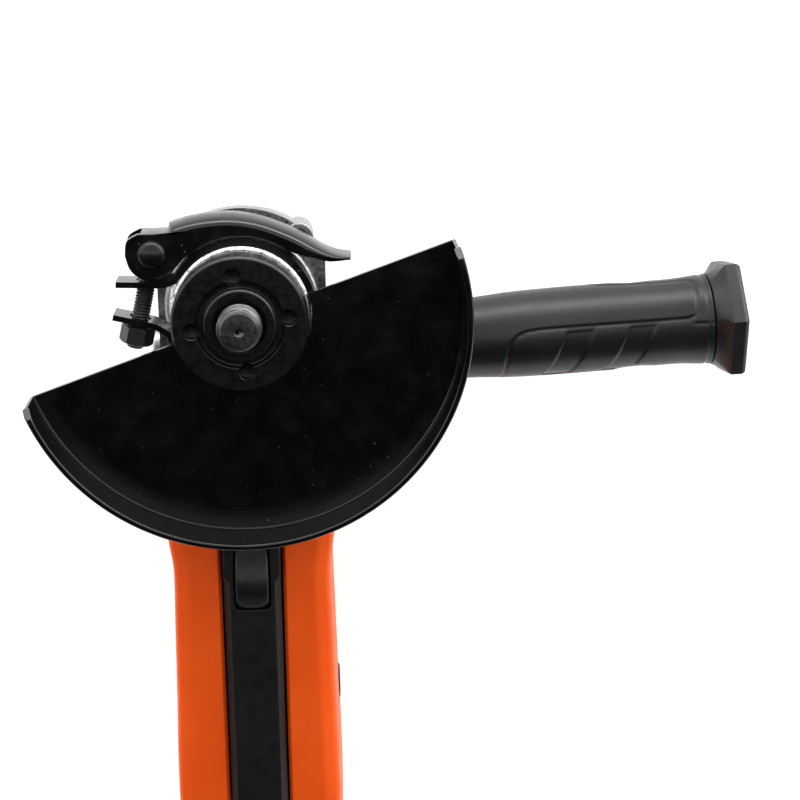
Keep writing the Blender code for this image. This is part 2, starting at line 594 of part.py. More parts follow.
def motor_parts():
    """Everything on the motor shaft but the pinion."""
    along_motor("motor_shaft", [(0, 22.0), (3.0, 22.0), (3.0, 46.0), (4.0, 46.0), (4.0, 168.0),
                                (0, 168.0)], 16, STEEL)
    along_motor("armature_core", [(4.3, 76.0), (12.8, 76.0), (12.8, 124.0), (4.3, 124.0)], 24, STEEL)
    along_motor("commutator", [(4.3, 134.0), (9.6, 134.0), (9.6, 150.0), (4.3, 150.0)], 24, COPPER)
    fan = along_motor("cooling_fan", [(4.3, 50.0), (22.0, 50.0), (22.0, 51.6), (9.0, 53.0), (8.0, 60.0),
                                      (4.3, 60.0)], 28, BLACK_PLASTIC)
    for k in range(7):
        a = 360 * k / 7
        blade = box("blade", (6.0, -0.7, 51.0), (21.0, 0.7, 60.0), None, at=(0, 0, MOTOR_Z),
                    rot=(90, 0, 0))
        blade.rotation_euler = (Matrix.Rotation(math.radians(90), 3, "X")
                                @ Matrix.Rotation(math.radians(a), 3, "Z")).to_euler()
        boolean(fan, blade, "UNION")


def pinion():
    """Small bevel pinion at the front end of the motor shaft, one tooth pointing straight down."""
    rings = []
    for dist in (GEAR_R0 + 0.2, GEAR_R1 + 0.8):
        ring = []
        for k in range(PINION_TEETH):
            mid = math.radians(270) + 2 * math.pi * k / PINION_TEETH
            for turn, slope in ((-0.15, PINION_ROOT), (-0.09, PINION_TIP), (0.09, PINION_TIP),
                                (0.15, PINION_ROOT)):
                r = slope * dist
                ring.append((r * math.cos(mid + turn), r * math.sin(mid + turn), dist))
        rings.append(ring)
    return loft("pinion", rings, STEEL, at=(0, 0, MOTOR_Z), rot=(90, 0, 0), smooth=False)


def motor_fixed():
    """Parts of the motor that do not turn, and the switch block."""
    along_motor("stator", [(13.6, 74.0), (20.8, 74.0), (20.8, 126.0), (13.6, 126.0)], 28, STEEL)
    along_motor("motor_bearing_front", [(4.3, 36.0), (13.0, 36.0), (13.0, 44.0), (4.3, 44.0)], 24, STEEL)
    along_motor("motor_bearing_rear", [(4.3, 158.0), (9.5, 158.0), (9.5, 166.0), (4.3, 166.0)], 20, STEEL)
    along_motor("air_baffle", [(14.0, 62.4), (23.6, 62.4), (23.6, 64.4), (14.0, 64.4)], 28, BLACK_PLASTIC)
    along_motor("bearing_plate", [(13.3, 38.0), (18.6, 38.0), (18.6, 43.0), (13.3, 43.0)], 28, CAST_ALLOY)
    box("switch_module", (-8.0, -200.0, 34.0), (8.0, -172.0, 51.0), BLACK_PLASTIC)


def brushes():
    """Carbon brush at each side of the commutator."""
    for side, tag in ((1, "right"), (-1, "left")):
        box("brush_" + tag, (-2.6, -3.2, -3.2), (2.6, 3.2, 3.2), CARBON, at=(side * 12.8, -142.0, MOTOR_Z))


# ---------------------------------------------------------------- side handle
def handle_frame():
    """Parent of the side handle, on its axis; local Z runs outward along the handle."""
    return empty("side_handle_axis", HANDLE_AT, rot=(0, 90, HANDLE_YAW))


def hexagon_ring(r, z, flat=1.0, count=36):
    """A ring that is round at flat=0 and a regular hexagon, r across its corners, at flat=1."""
    pts = []
    for i in range(count):
        a = 2 * math.pi * i / count
        local = a % math.radians(60) - math.radians(30)
        reach = (1 - flat) * r + flat * r * math.cos(math.radians(30)) / math.cos(local)
        turned = a + math.radians(180 - CAP_TURN)
        pts.append((reach * math.cos(turned), reach * math.sin(turned), z))
    return pts


def handle_parts(frame):
    """Threaded stud, washer, grip with its finger collar, and the hexagonal end cap."""
    stud = lathe("handle_stud", [(0, -9.0), (3.4, -9.0), (3.9, -8.4), (3.9, 16.0), (0, 16.0)], 16, STEEL)
    collar = lathe("handle_collar", [(4.3, 0.9), (9.0, 0.9), (9.0, 4.0), (4.3, 4.0)], 24, STEEL)
    profile = [(4.3, 4.4), (11.6, 4.4), (14.2, 6.4), (20.6, 8.0), (21.8, 9.4), (21.8, 11.2), (20.4, 12.6),
               (14.6, 15.6), (13.3, 22.0), (13.1, 34.0), (13.5, 46.0), (14.3, 58.0), (14.6, 72.0),
               (14.6, 92.0), (14.3, 106.0), (14.4, 114.0), (15.1, 122.0), (15.2, 124.0), (0, 124.0),
               (0, 17.0), (4.3, 17.0)]
    grip = lathe("handle_grip", profile, 24, BLACK_RUBBER)
    rings = [hexagon_ring(15.2, 124.4, 0.0), hexagon_ring(17.2, 126.2, 0.45),
             hexagon_ring(21.0, 129.0, 0.96), hexagon_ring(21.2, 132.8, 0.96),
             hexagon_ring(20.0, 134.2, 0.94)]
    cap = loft("handle_end_cap", rings, BLACK_PLASTIC, smooth=False)
    attach(frame, stud, collar, grip, cap)


def main():
    clear_scene()
    gear_housing()
    bearing_cover()
    cover_screws()
    lock_button()
    spindle_group()
    ball_bearings()
    guard()
    clamp_band()
    clamp_stud()
    clamp_nut_small()
    clamp_lever()
    pivot_pin()
    body_shell("body_shell_right", 1)
    body_shell("body_shell_left", -1)
    back_spine()
    switch_tray()
    paddle()
    lock_tongue()
    rear_cover()
    cord_gland()
    motor_parts()
    pinion()
    motor_fixed()
    brushes()
    brush_caps()
    shell_screws()
    handle_parts(handle_frame())


main()
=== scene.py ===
"""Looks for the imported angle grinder: finer pieces over the CAD frame, finishes, floor, light, camera.

All lengths are millimetres until a mesh is made. The frame is the CAD's: spindle axis up (+Z),
nose of the gear head to +Y, motor body to -Y, side handle to +X, ground at z = 0.
A point of an outline or profile may carry a third number, the radius that rounds it.
"""
import math

import bmesh
import bpy
from mathutils import Euler, Matrix, Vector


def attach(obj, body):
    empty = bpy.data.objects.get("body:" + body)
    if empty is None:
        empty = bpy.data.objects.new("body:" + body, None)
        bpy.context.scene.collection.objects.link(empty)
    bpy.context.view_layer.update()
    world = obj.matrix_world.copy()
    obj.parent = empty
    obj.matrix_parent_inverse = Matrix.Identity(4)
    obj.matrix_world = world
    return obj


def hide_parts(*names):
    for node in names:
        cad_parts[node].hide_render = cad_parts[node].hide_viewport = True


MM = 0.001

# gear head and bearing cover
HEAD_TOP, HEAD_BACK_Y, HEAD_SIDE = 51.7, -41.7, 26.6
COVER_Z0, COVER_Z1, COVER_NOSE_R = 52.0, 58.0, 31.0
NECK_R, NECK_TOP = 21.7, 74.4
SCREW_X, SCREW_Y, SCREW_BORE_R = 18.6, 21.6, 2.2
SCREW_PLACES = [(x, y) for x in (SCREW_X, -SCREW_X) for y in (SCREW_Y, -SCREW_Y)]
POST_R, LOBE_R, LOBE_TOP = 4.4, 4.5, 58.8
BUTTON_Y = -17.0
MOTOR_Z = 31.0

# spindle stack
THREAD_R, SPINDLE_TIP = 6.95, 96.0
BORE_R = 7.25                  # of the flange and the nut, round the thread
FLANGE_R, FLANGE_Z0, FLANGE_Z1 = 20.9, 75.7, 79.7
NUT_R, NUT_Z0, NUT_Z1 = 21.0, 80.0, 86.5
PILOT_R, PILOT_Z1 = 11.1, 88.0
PIN_CIRCLE_R, PIN_HOLE_R, PIN_HOLE_TURN = 14.9, 2.6, 97

# guard and clamp
GUARD_R, PLATE_Z0, PLATE_Z1, SKIRT_Z1 = 70.2, 73.7, 75.3, 91.8
GUARD_T, BEAD_OUT, BEAD_IN, GUARD_MOUTH_R = 1.0, 0.5, 1.6, 22.0
GUARD_EDGE_ANGLE = 19.4        # degrees, straight edge of the plate
GUARD_EDGE_DROP = 0.7          # the edge passes this far behind the spindle axis
BAND_MID_R, BAND_T, BAND_Z0, BAND_Z1 = 22.9, 1.8, 62.9, 73.4
PIVOT = Vector((-26.6, 19.6, 0.0))
STUD_DIR = Vector((-0.228, -0.9737, 0.0))
STUD_Z, STUD_R, STUD_END = 68.0, 2.8, 30.9
SMALL_NUT_S0, SMALL_NUT_S1 = 23.7, 29.4        # along the stud from the pivot
SMALL_NUT_CORNER, SMALL_NUT_FLAT = 5.3, 4.59

# motor body
CHANNEL = 9.8                  # half width of the switch channel and of the back spine
GAP, WALL = 0.3, 2.8
# stations along the body: y, half width, height of the bottom, height of the top
BODY_STATIONS = [(-42.0, 29.0, 0.6, 58.5), (-60.0, 29.4, 0.0, 60.0), (-78.0, 28.1, 0.0, 61.0),
                 (-90.0, 26.7, 0.0, 61.5), (-112.0, 27.1, 0.0, 61.8), (-134.0, 27.5, 0.0, 62.0),
                 (-160.0, 28.2, 0.0, 62.0), (-188.0, 28.2, 0.0, 60.5), (-212.0, 27.0, 0.0, 58.5)]
COVER_STATIONS = [(-212.3, 27.2, 0.0, 58.5), (-226.0, 26.6, 0.0, 57.4), (-244.0, 24.6, 0.0, 54.0),
                  (-258.0, 21.4, 2.6, 48.6), (-264.0, 17.6, 6.8, 43.6)]
COVER_HOLLOW = [(-208.0, 24.3, 3.0, 55.6), (-244.0, 21.5, 3.1, 50.7), (-257.0, 17.3, 6.5, 44.7)]
# corner of the section beside the flat face: distance in from the side, distance down
SHOULDER = [(6.4, 0.0), (5.2, 0.25), (2.4, 1.3), (1.5, 2.0), (0.95, 3.4), (0.6, 7.0), (0.2, 14.0)]
SHELL_SCREWS = [(-54.0, 14.0), (-110.0, 12.0), (-176.0, 14.0), (-200.0, 46.0)]     # y, z
BRUSH_X, BRUSH_Y = 20.6, -142.0
CORD_AT = (0, -250, 25.5)
TONGUE_AT = (0, -91.0, 61.6)   # axis of the lock-off tongue

# side handle
HANDLE_AT = Vector((30.6, -20.8, 34.0))
HANDLE_YAW = 3.2               # degrees toward the nose
CAP_TURN = 8.0                 # the end cap's top corner leans this far toward the nose

# camera
CAMERA_AT = (0.0205, 0.1212, 0.6188)           # metres
CAMERA_TURN = (-15.0, -3.1878, -0.78)          # degrees
CAMERA_LENS, CAMERA_SENSOR, CAMERA_SHIFT_Y = 81.0, 36.0, -0.01125

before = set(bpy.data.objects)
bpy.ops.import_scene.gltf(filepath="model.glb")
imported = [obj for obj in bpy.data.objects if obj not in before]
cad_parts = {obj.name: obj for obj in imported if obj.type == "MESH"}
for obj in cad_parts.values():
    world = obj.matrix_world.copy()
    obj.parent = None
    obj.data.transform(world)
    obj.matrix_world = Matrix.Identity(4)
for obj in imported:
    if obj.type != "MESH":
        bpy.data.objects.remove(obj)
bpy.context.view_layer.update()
scene = bpy.context.scene


# ---------------------------------------------------------------- mesh helpers
def spot(at=(0, 0, 0), rot=(0, 0, 0)):
    """Matrix of a place in millimetres and a rotation in degrees."""
    turn = Euler([math.radians(a) for a in rot]).to_matrix().to_4x4()
    return Matrix.Translation(Vector(at)) @ turn


def build(name, verts, faces, place=None, sharp=38):
    """Object from millimetre points; edges sharper than the angle in degrees stay sharp."""
    place = place or Matrix.Identity(4)
    mesh = bpy.data.meshes.new(name)
    mesh.from_pydata([(place @ Vector(v)) * MM for v in verts], [], faces)
    bm = bmesh.new()
    bm.from_mesh(mesh)
    bmesh.ops.recalc_face_normals(bm, faces=bm.faces)
    bm.to_mesh(mesh)
    bm.free()
    mesh.shade_smooth()
    mesh.set_sharp_from_angle(angle=math.radians(sharp))
    obj = bpy.data.objects.new(name, mesh)
    scene.collection.objects.link(obj)
    return obj


def soften(points, radius, steps=4, closed=True):
    """Rounds the corners of a 2-D outline; a point may carry its own radius as a third number."""
    out, n = [], len(points)
    for i, p in enumerate(points):
        r = p[2] if len(p) > 2 else radius
        here = Vector(p[:2])
        if r <= 0 or (not closed and i in (0, n - 1)):
            out.append(tuple(here))
            continue
        a = Vector(points[i - 1][:2]) - here
        b = Vector(points[(i + 1) % n][:2]) - here
        reach = min(r, a.length * 0.49, b.length * 0.49)
        p0, p1 = here + a.normalized() * reach, here + b.normalized() * reach
        for k in range(steps + 1):
            t = k / steps
            out.append(tuple(p0 * (1 - t) ** 2 + here * (2 * t * (1 - t)) + p1 * t ** 2))
    return out


def turned(name, profile, segments, place=None, shape=None, sharp=38, turn=0.0):
    """Turns a closed (radius, height) profile round local Z; shape(r, angle, z) may alter the radius."""
    verts, rings, faces = [], [], []
    for r, z in profile:
        count = 1 if r == 0 else segments
        rings.append(list(range(len(verts), len(verts) + count)))
        for i in range(count):
            a = 2 * math.pi * i / segments + math.radians(turn)
            q = shape(r, a, z) if shape and r else r
            verts.append((q * math.cos(a), q * math.sin(a), z))
    for k, low in enumerate(rings):
        high = rings[(k + 1) % len(rings)]
        if len(low) == 1 and len(high) == 1:
            continue
        for i in range(segments):
            j = (i + 1) % segments
            a, b = low[i % len(low)], low[j % len(low)]
            c, d = high[j % len(high)], high[i % len(high)]
            faces.append([v for n, v in enumerate((a, b, c, d)) if v not in (a, b, c, d)[:n]])
    return build(name, verts, faces, place, sharp)


def axis_profile(points, radius, steps=4):
    """A softened profile whose points on the axis stay sharp."""
    return soften([(*p[:2], 0) if p[0] == 0 else p for p in points], radius, steps)


def loft(name, sections, place=None, sharp=38):
    """Joins closed sections that have the same number of points, and caps both ends."""
    count = len(sections[0])
    verts = [p for section in sections for p in section]
    faces = [list(range(count)), [count * (len(sections) - 1) + i for i in range(count)]]
    for s in range(len(sections) - 1):
        for i in range(count):
            j = (i + 1) % count
            faces.append([s * count + i, s * count + j, (s + 1) * count + j, (s + 1) * count + i])
    return build(name, verts, faces, place, sharp)


def prism(name, outline, z0, z1, place=None, sharp=38):
    """An outline in the local XY plane, extruded from z0 to z1."""
    return loft(name, [[(x, y, z) for x, y in outline] for z in (z0, z1)], place, sharp)


def box(name, low, high, place=None):
    """Box between two opposite corners."""
    return prism(name, [(low[0], low[1]), (high[0], low[1]), (high[0], high[1]), (low[0], high[1])],
                 low[2], high[2], place)


def apply_all(obj):
    """Turns the object's modifiers into mesh."""
    bpy.context.view_layer.update()
    dg = bpy.context.evaluated_depsgraph_get()
    mesh = bpy.data.meshes.new_from_object(obj.evaluated_get(dg))
    obj.modifiers.clear()
    obj.data = mesh
    return obj


def boolean(obj, *others, operation="DIFFERENCE"):
    """Cuts or joins the other solids and removes them."""
    for other in others:
        mod = obj.modifiers.new("shape", "BOOLEAN")
        mod.operation, mod.object, mod.solver = operation, other, "EXACT"
    apply_all(obj)
    for other in others:
        bpy.data.objects.remove(other, do_unlink=True)
    return obj


def rod(r, z0, z1, place=None, segments=40, r2=None):
    """Round cutter along local Z; r2 is its radius at z1 when it tapers."""
    top = r if r2 is None else r2
    return turned("cut", [(0, z0), (r, z0), (top, z1), (0, z1)], segments, place)


def edges(obj, width, segments=3, angle=38):
    """Small rounded edges wherever faces meet at more than the angle."""
    mod = obj.modifiers.new("edges", "BEVEL")
    mod.width, mod.segments = width * MM, segments
    mod.limit_method, mod.angle_limit = "ANGLE", math.radians(angle)
    mod.use_clamp_overlap = True
    apply_all(obj)
    obj.data.shade_smooth()
    obj.data.set_sharp_from_angle(angle=math.radians(50))
    return obj


def arc(cx, cy, r, a0, a1, steps):
    """Points on an arc, both ends included; angles in degrees."""
    span = [math.radians(a0 + (a1 - a0) * i / steps) for i in range(steps + 1)]
    return [(cx + r * math.cos(a), cy + r * math.sin(a)) for a in span]


def smooth_rows(rows, parts):
    """Catmull-Rom rows between the given ones, so a loft has no kinks."""
    out = []
    for i in range(len(rows) - 1):
        p0, p1, p2, p3 = rows[max(i - 1, 0)], rows[i], rows[i + 1], rows[min(i + 2, len(rows) - 1)]
        for k in range(parts):
            t = k / parts
            out.append(tuple(0.5 * (2 * b + (c - a) * t + (2 * a - 5 * b + 4 * c - d) * t * t
                                    + (3 * b - a - 3 * c + d) * t ** 3)
                             for a, b, c, d in zip(p0, p1, p2, p3)))
    return out + [tuple(rows[-1])]


def dress(obj, body, material, slot, *nodes, weighted=True):
    """Gives a piece its finish, its body in the frame, and the CAD nodes it replaces; the slot is not used.
    """
    obj.data.materials.clear()
    for mat in material if isinstance(material, (list, tuple)) else [material]:
        obj.data.materials.append(mat)
    if weighted:
        mod = obj.modifiers.new("normals", "WEIGHTED_NORMAL")
        mod.keep_sharp = True
    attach(obj, body)
    if nodes:
        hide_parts(*nodes)
    return obj


# ---------------------------------------------------------------- finishes
class Finish:
    """A principled material with object-space procedural detail."""

    def __init__(self, name, colour, rough, metal=0.0, specular=0.5, coat=0.0, coat_rough=0.1):
        self.mat = bpy.data.materials.new(name)
        self.mat.use_nodes = True
        self.nodes, self.links = self.mat.node_tree.nodes, self.mat.node_tree.links
        self.shader = self.nodes["Principled BSDF"]
        self.put("Base Color", (*colour, 1.0))
        self.put("Roughness", rough)
        self.put("Metallic", metal)
        self.put("Specular IOR Level", specular)
        self.put("Coat Weight", coat)
        self.put("Coat Roughness", coat_rough)
        self.place = self.nodes.new("ShaderNodeTexCoord").outputs["Object"]
        self.last_bump = None

    def put(self, socket, value):
        """Sets a shader value."""
        self.shader.inputs[socket].default_value = value

    def stretched(self, scale):
        """Object coordinates scaled by axis."""
        node = self.nodes.new("ShaderNodeMapping")
        node.inputs["Scale"].default_value = scale
        self.links.new(self.place, node.inputs["Vector"])
        return node.outputs["Vector"]

    def noise(self, scale, detail=3.0, rough=0.55, stretch=None):
        node = self.nodes.new("ShaderNodeTexNoise")
        node.inputs["Scale"].default_value = scale
        node.inputs["Detail"].default_value = detail
        node.inputs["Roughness"].default_value = rough
        self.links.new(self.stretched(stretch) if stretch else self.place, node.inputs["Vector"])
        return node.outputs["Fac"]

    def ramp(self, value, *stops):
        """Colour ramp; each stop is a position and a colour or a grey level."""
        node = self.nodes.new("ShaderNodeValToRGB")
        while len(node.color_ramp.elements) < len(stops):
            node.color_ramp.elements.new(0.5)
        for element, (at, colour) in zip(node.color_ramp.elements, stops):
            element.position = at
            element.color = (*colour, 1.0) if hasattr(colour, "__len__") else (colour,) * 3 + (1.0,)
        self.links.new(value, node.inputs["Fac"])
        return node.outputs["Color"]

    def span(self, value, low, high, source=(0.3, 0.7)):
        """Maps the source range of a value to low..high."""
        node = self.nodes.new("ShaderNodeMapRange")
        for socket, number in zip(("From Min", "From Max", "To Min", "To Max"), (*source, low, high)):
            node.inputs[socket].default_value = number
        self.links.new(value, node.inputs["Value"])
        return node.outputs["Result"]

    def mix(self, fac, a, b):
        node = self.nodes.new("ShaderNodeMix")
        node.data_type = "RGBA"
        self.links.new(fac, node.inputs["Factor"])
        for socket, value in ((node.inputs["A"], a), (node.inputs["B"], b)):
            if isinstance(value, bpy.types.NodeSocket):
                self.links.new(value, socket)
            else:
                socket.default_value = (*value, 1.0)
        return node.outputs["Result"]

    def math(self, operation, a, b=None):
        node = self.nodes.new("ShaderNodeMath")
        node.operation = operation
        for socket, value in zip(node.inputs, (a, b)):
            if isinstance(value, bpy.types.NodeSocket):
                self.links.new(value, socket)
            elif value is not None:
                socket.default_value = value
        return node.outputs["Value"]

    def rings(self, pitch):
        """Fine turning lines round the object's own vertical axis."""
        split = self.nodes.new("ShaderNodeSeparateXYZ")
        self.links.new(self.place, split.inputs["Vector"])
        x2 = self.math("POWER", split.outputs["X"], 2.0)
        y2 = self.math("POWER", split.outputs["Y"], 2.0)
        radius = self.math("SQRT", self.math("ADD", x2, y2))
        height = split.outputs["Z"]
        lines = self.nodes.new("ShaderNodeTexNoise")
        lines.noise_dimensions = "2D"
        lines.inputs["Scale"].default_value = 1.0 / (pitch * MM)
        join = self.nodes.new("ShaderNodeCombineXYZ")
        self.links.new(radius, join.inputs["X"])
        self.links.new(height, join.inputs["Y"])
        self.links.new(join.outputs["Vector"], lines.inputs["Vector"])
        return lines.outputs["Fac"]

    def rough(self, value, low, high):
        """Roughness that follows a pattern, from low to high."""
        self.drive("Roughness", self.span(value, low, high))

    def bump(self, height, strength, distance):
        """Adds a bump of the given depth in millimetres on top of the earlier ones."""
        node = self.nodes.new("ShaderNodeBump")
        node.inputs["Strength"].default_value = strength
        node.inputs["Distance"].default_value = distance * MM
        self.links.new(height, node.inputs["Height"])
        if self.last_bump:
            self.links.new(self.last_bump, node.inputs["Normal"])
        self.last_bump = node.outputs["Normal"]
        self.links.new(self.last_bump, self.shader.inputs["Normal"])
        return self

    def drive(self, socket, value):
        """Links a node output to a shader socket."""
        self.links.new(value, self.shader.inputs[socket])
        return self


def orange_plastic():
    """Satin moulding with faint cloudiness, a few dirt specks and a fine grain."""
    f = Finish("orange_plastic", (0.80, 0.090, 0.006), 0.5, specular=0.2)
    base = f.ramp(f.noise(35.0, 4.0), (0.3, (0.76, 0.078, 0.005)), (0.7, (0.86, 0.102, 0.008)))
    dirt = f.ramp(f.noise(420.0, 5.0, 0.7), (0.66, 0.0), (0.74, 1.0))
    f.drive("Base Color", f.mix(f.math("MULTIPLY", dirt, 0.35), base, (0.30, 0.05, 0.015)))
    f.rough(f.noise(160.0, 4.0), 0.42, 0.56)
    return f.bump(f.noise(2600.0, 3.0), 0.22, 0.05).bump(f.noise(90.0), 0.12, 0.25).mat


def black_plastic():
    """Matt black moulding."""
    f = Finish("black_plastic", (0.006, 0.006, 0.006), 0.42, specular=0.3)
    f.drive("Base Color", f.ramp(f.noise(60.0, 4.0), (0.3, 0.004), (0.7, (0.008, 0.0075, 0.0075))))
    f.rough(f.noise(200.0, 4.0), 0.36, 0.52)
    return f.bump(f.noise(2400.0, 3.0), 0.3, 0.06).mat


def soft_grip():
    """Slightly blue-black rubber with scuffs along its length."""
    f = Finish("soft_grip", (0.010, 0.010, 0.011), 0.38, specular=0.34)
    f.drive("Base Color", f.ramp(f.noise(45.0, 5.0), (0.3, (0.0075, 0.0075, 0.0085)),
                                 (0.7, (0.012, 0.012, 0.0135))))
    scuff = f.noise(260.0, 6.0, 0.7, stretch=(1.0, 2.2, 1.0))
    f.rough(scuff, 0.31, 0.45)
    return f.bump(f.noise(2200.0, 3.0), 0.25, 0.06).bump(f.noise(140.0, 3.0), 0.1, 0.15).mat


def black_paint():
    """Glossy black paint on sheet metal: pale dust specks and soft smears."""
    f = Finish("black_paint", (0.0022, 0.0020, 0.0020), 0.22, specular=0.4, coat=0.1, coat_rough=0.06)
    dust = f.ramp(f.noise(700.0, 2.0, 0.5), (0.735, 0.0), (0.765, 1.0))
    smear = f.ramp(f.noise(25.0, 4.0), (0.45, 0.0), (0.8, 1.0))
    base = f.mix(f.math("MULTIPLY", smear, 0.3), (0.0016, 0.0014, 0.0014), (0.004, 0.004, 0.0045))
    f.drive("Base Color", f.mix(f.math("MULTIPLY", dust, 0.5), base, (0.10, 0.10, 0.11)))
    f.rough(f.noise(120.0, 5.0), 0.16, 0.30)
    return f.bump(f.noise(330.0, 2.0), 0.08, 0.10).mat


def black_steel():
    """Blackened turned steel."""
    f = Finish("black_steel", (0.006, 0.006, 0.006), 0.3, metal=0.3, specular=0.4)
    f.drive("Base Color", f.ramp(f.noise(150.0, 5.0), (0.35, 0.003), (0.75, 0.009)))
    f.rough(f.noise(500.0, 4.0), 0.22, 0.38)
    return f.bump(f.rings(0.35), 0.10, 0.04).bump(f.noise(1500.0, 3.0), 0.12, 0.03).mat


def oiled_steel():
    """Dark oiled steel of the clamp's bolt and nut, a little lighter than the blackened one."""
    f = Finish("oiled_steel", (0.03, 0.03, 0.03), 0.32, metal=0.6)
    f.drive("Base Color", f.ramp(f.noise(150.0, 5.0), (0.3, 0.022), (0.7, (0.045, 0.044, 0.043))))
    f.rough(f.noise(600.0, 4.0), 0.26, 0.4)
    return f.bump(f.noise(1500.0, 3.0), 0.15, 0.04).mat


def cast_alloy():
    """Grainy die-cast alloy with darker stains."""
    f = Finish("cast_alloy", (0.5, 0.5, 0.5), 0.42, metal=1.0)
    grain = f.noise(900.0, 4.0, 0.65)
    base = f.ramp(grain, (0.32, (0.17, 0.17, 0.168)), (0.5, (0.30, 0.30, 0.295)), (0.7, (0.42, 0.42, 0.415)))
    stain = f.ramp(f.noise(70.0, 5.0), (0.5, 0.0), (0.85, 1.0))
    f.drive("Base Color", f.mix(f.math("MULTIPLY", stain, 0.5), base, (0.16, 0.155, 0.15)))
    f.rough(f.noise(450.0, 4.0), 0.24, 0.38)
    return f.bump(grain, 0.55, 0.16).bump(f.noise(200.0, 3.0), 0.25, 0.3).mat


def machined_alloy():
    """Bright turned alloy of the neck, speckled where the casting's pores show."""
    f = Finish("machined_alloy", (0.72, 0.72, 0.72), 0.32, metal=0.95)
    speck = f.noise(650.0, 4.0, 0.7)
    f.drive("Base Color", f.ramp(speck, (0.36, 0.16), (0.5, (0.66, 0.66, 0.65)), (0.62, 0.9)))
    f.rough(speck, 0.55, 0.24)
    return f.bump(speck, 0.6, 0.12).bump(f.rings(0.5), 0.2, 0.05).mat


def steel():
    """Ground steel of the spindle, shafts and bearings."""
    f = Finish("ground_steel", (0.2, 0.2, 0.205), 0.33, metal=1.0)
    f.drive("Base Color", f.ramp(f.noise(180.0, 5.0), (0.3, (0.055, 0.055, 0.057)),
                                 (0.7, (0.12, 0.12, 0.123))))
    f.rough(f.noise(700.0, 4.0), 0.28, 0.46)
    return f.bump(f.rings(0.3), 0.25, 0.05).mat


def copper():
    """Commutator copper."""
    f = Finish("copper", (0.75, 0.30, 0.12), 0.35, metal=1.0)
    f.rough(f.noise(300.0), 0.28, 0.45)
    return f.bump(f.noise(900.0), 0.2, 0.05).mat


def carbon():
    """Dull grey-black of the brushes."""
    f = Finish("carbon", (0.03, 0.03, 0.03), 0.7)
    f.rough(f.noise(600.0), 0.6, 0.8)
    return f.bump(f.noise(1500.0), 0.4, 0.08).mat


ORANGE, PLASTIC, GRIP, PAINT = orange_plastic(), black_plastic(), soft_grip(), black_paint()
BLACKED, CAST, MACHINED, STEEL = black_steel(), cast_alloy(), machined_alloy(), steel()
COPPER, CARBON, OILED = copper(), carbon(), oiled_steel()


# ---------------------------------------------------------------- gear head
def head_outline(side, nose_y, back_half, steps=56):
    """Plan of the gear head: round nose, straight sides, a wider joint flange at the back."""
    nose = [(side * math.copysign(abs(x) ** 0.86, x), nose_y * y ** 0.92)
            for x, y in arc(0, 0, 1.0, 0, 180, steps)]
    back = soften([(-side, 0.0), (-side, -30.0, 5.0), (-back_half, -37.0, 4.0), (-back_half, HEAD_BACK_Y)],
                  0, 5, closed=False)[1:]
    return nose + back + [(-x, y) for x, y in reversed(back)]


def socket_place(side):
    """Place of the side handle's thread on the right (1) or left (-1) side; local Z points out."""
    return spot((side * HANDLE_AT.x, HANDLE_AT.y, HANDLE_AT.z), (0, side * 90, side * HANDLE_YAW))


def gear_case():
    """Cast case with ribs, handle bosses and screw posts, hollow for the gears and the motor."""
    # height, half width, nose radius, half width of the joint flange
    levels = [(0.0, 21.6, 17.6, 26.0), (0.5, 22.8, 18.9, 27.1), (1.6, 24.0, 20.2, 28.0),
              (5.0, 25.2, 22.2, 28.6), (14.0, 26.2, 24.6, 28.6), (30.0, 26.8, 27.2, 28.6),
              (44.0, 26.8, 29.2, 28.6), (HEAD_TOP - 0.7, 26.6, 30.0, 28.4), (HEAD_TOP, 25.9, 29.3, 27.8)]
    sections = [[(x, y, z) for x, y in head_outline(s, n, b)] for z, s, n, b in levels]
    case = loft("gear_case", sections)
    boss = axis_profile([(0, -10), (10.6, -10), (9.6, -3.0, 2.0), (9.6, 0.0, 0.9), (0, 0.0)], 0.5)
    rib = soften([(-1.0, 0), (-0.8, 0.9), (0.8, 0.9), (1.0, 0)], 0.3, 2)
    joins = []
    for side in (1, -1):
        joins.append(turned("boss", boss, 48, socket_place(side)))
        for y in (-31.0, -12.0):
            joins.append(prism("rib", [(side * (26.2 + v), y + u) for u, v in rib], 8.0, 47.0))
    post = axis_profile([(0, 39.5), (1.5, 39.5), (POST_R, 44.5, 2.0), (POST_R, HEAD_TOP, 0.5), (0, HEAD_TOP)],
                        0.5)
    joins += [turned("post", post, 36, spot((x, y, 0))) for x, y in SCREW_PLACES]
    boolean(case, *joins, operation="UNION")
    chamber = rod(21.4, 10.0, 60.0, r2=23.0, segments=64)
    to_motor = rod(19.0, 0.0, 60.0, spot((0, -15, MOTOR_Z), (90, 0, 0)), 56)
    button_recess = rod(8.3, -1.0, 7.2, spot((0, BUTTON_Y, 0)))
    button_bore = rod(3.4, 3.0, 12.0, spot((0, BUTTON_Y, 0)), 28)
    cuts = [chamber, to_motor, button_recess, button_bore]
    for side in (1, -1):
        cuts.append(rod(4.4, -12.0, 2.0, socket_place(side), 32))
        cuts += [rod(SCREW_BORE_R, 43.0, 60.0, spot((side * SCREW_X, y, 0)), 20) for y in (SCREW_Y, -SCREW_Y)]
    boolean(case, *cuts)
    edges(case, 0.35, 2)
    return dress(case, "housing", CAST, "cast_alloy", "gear_housing")


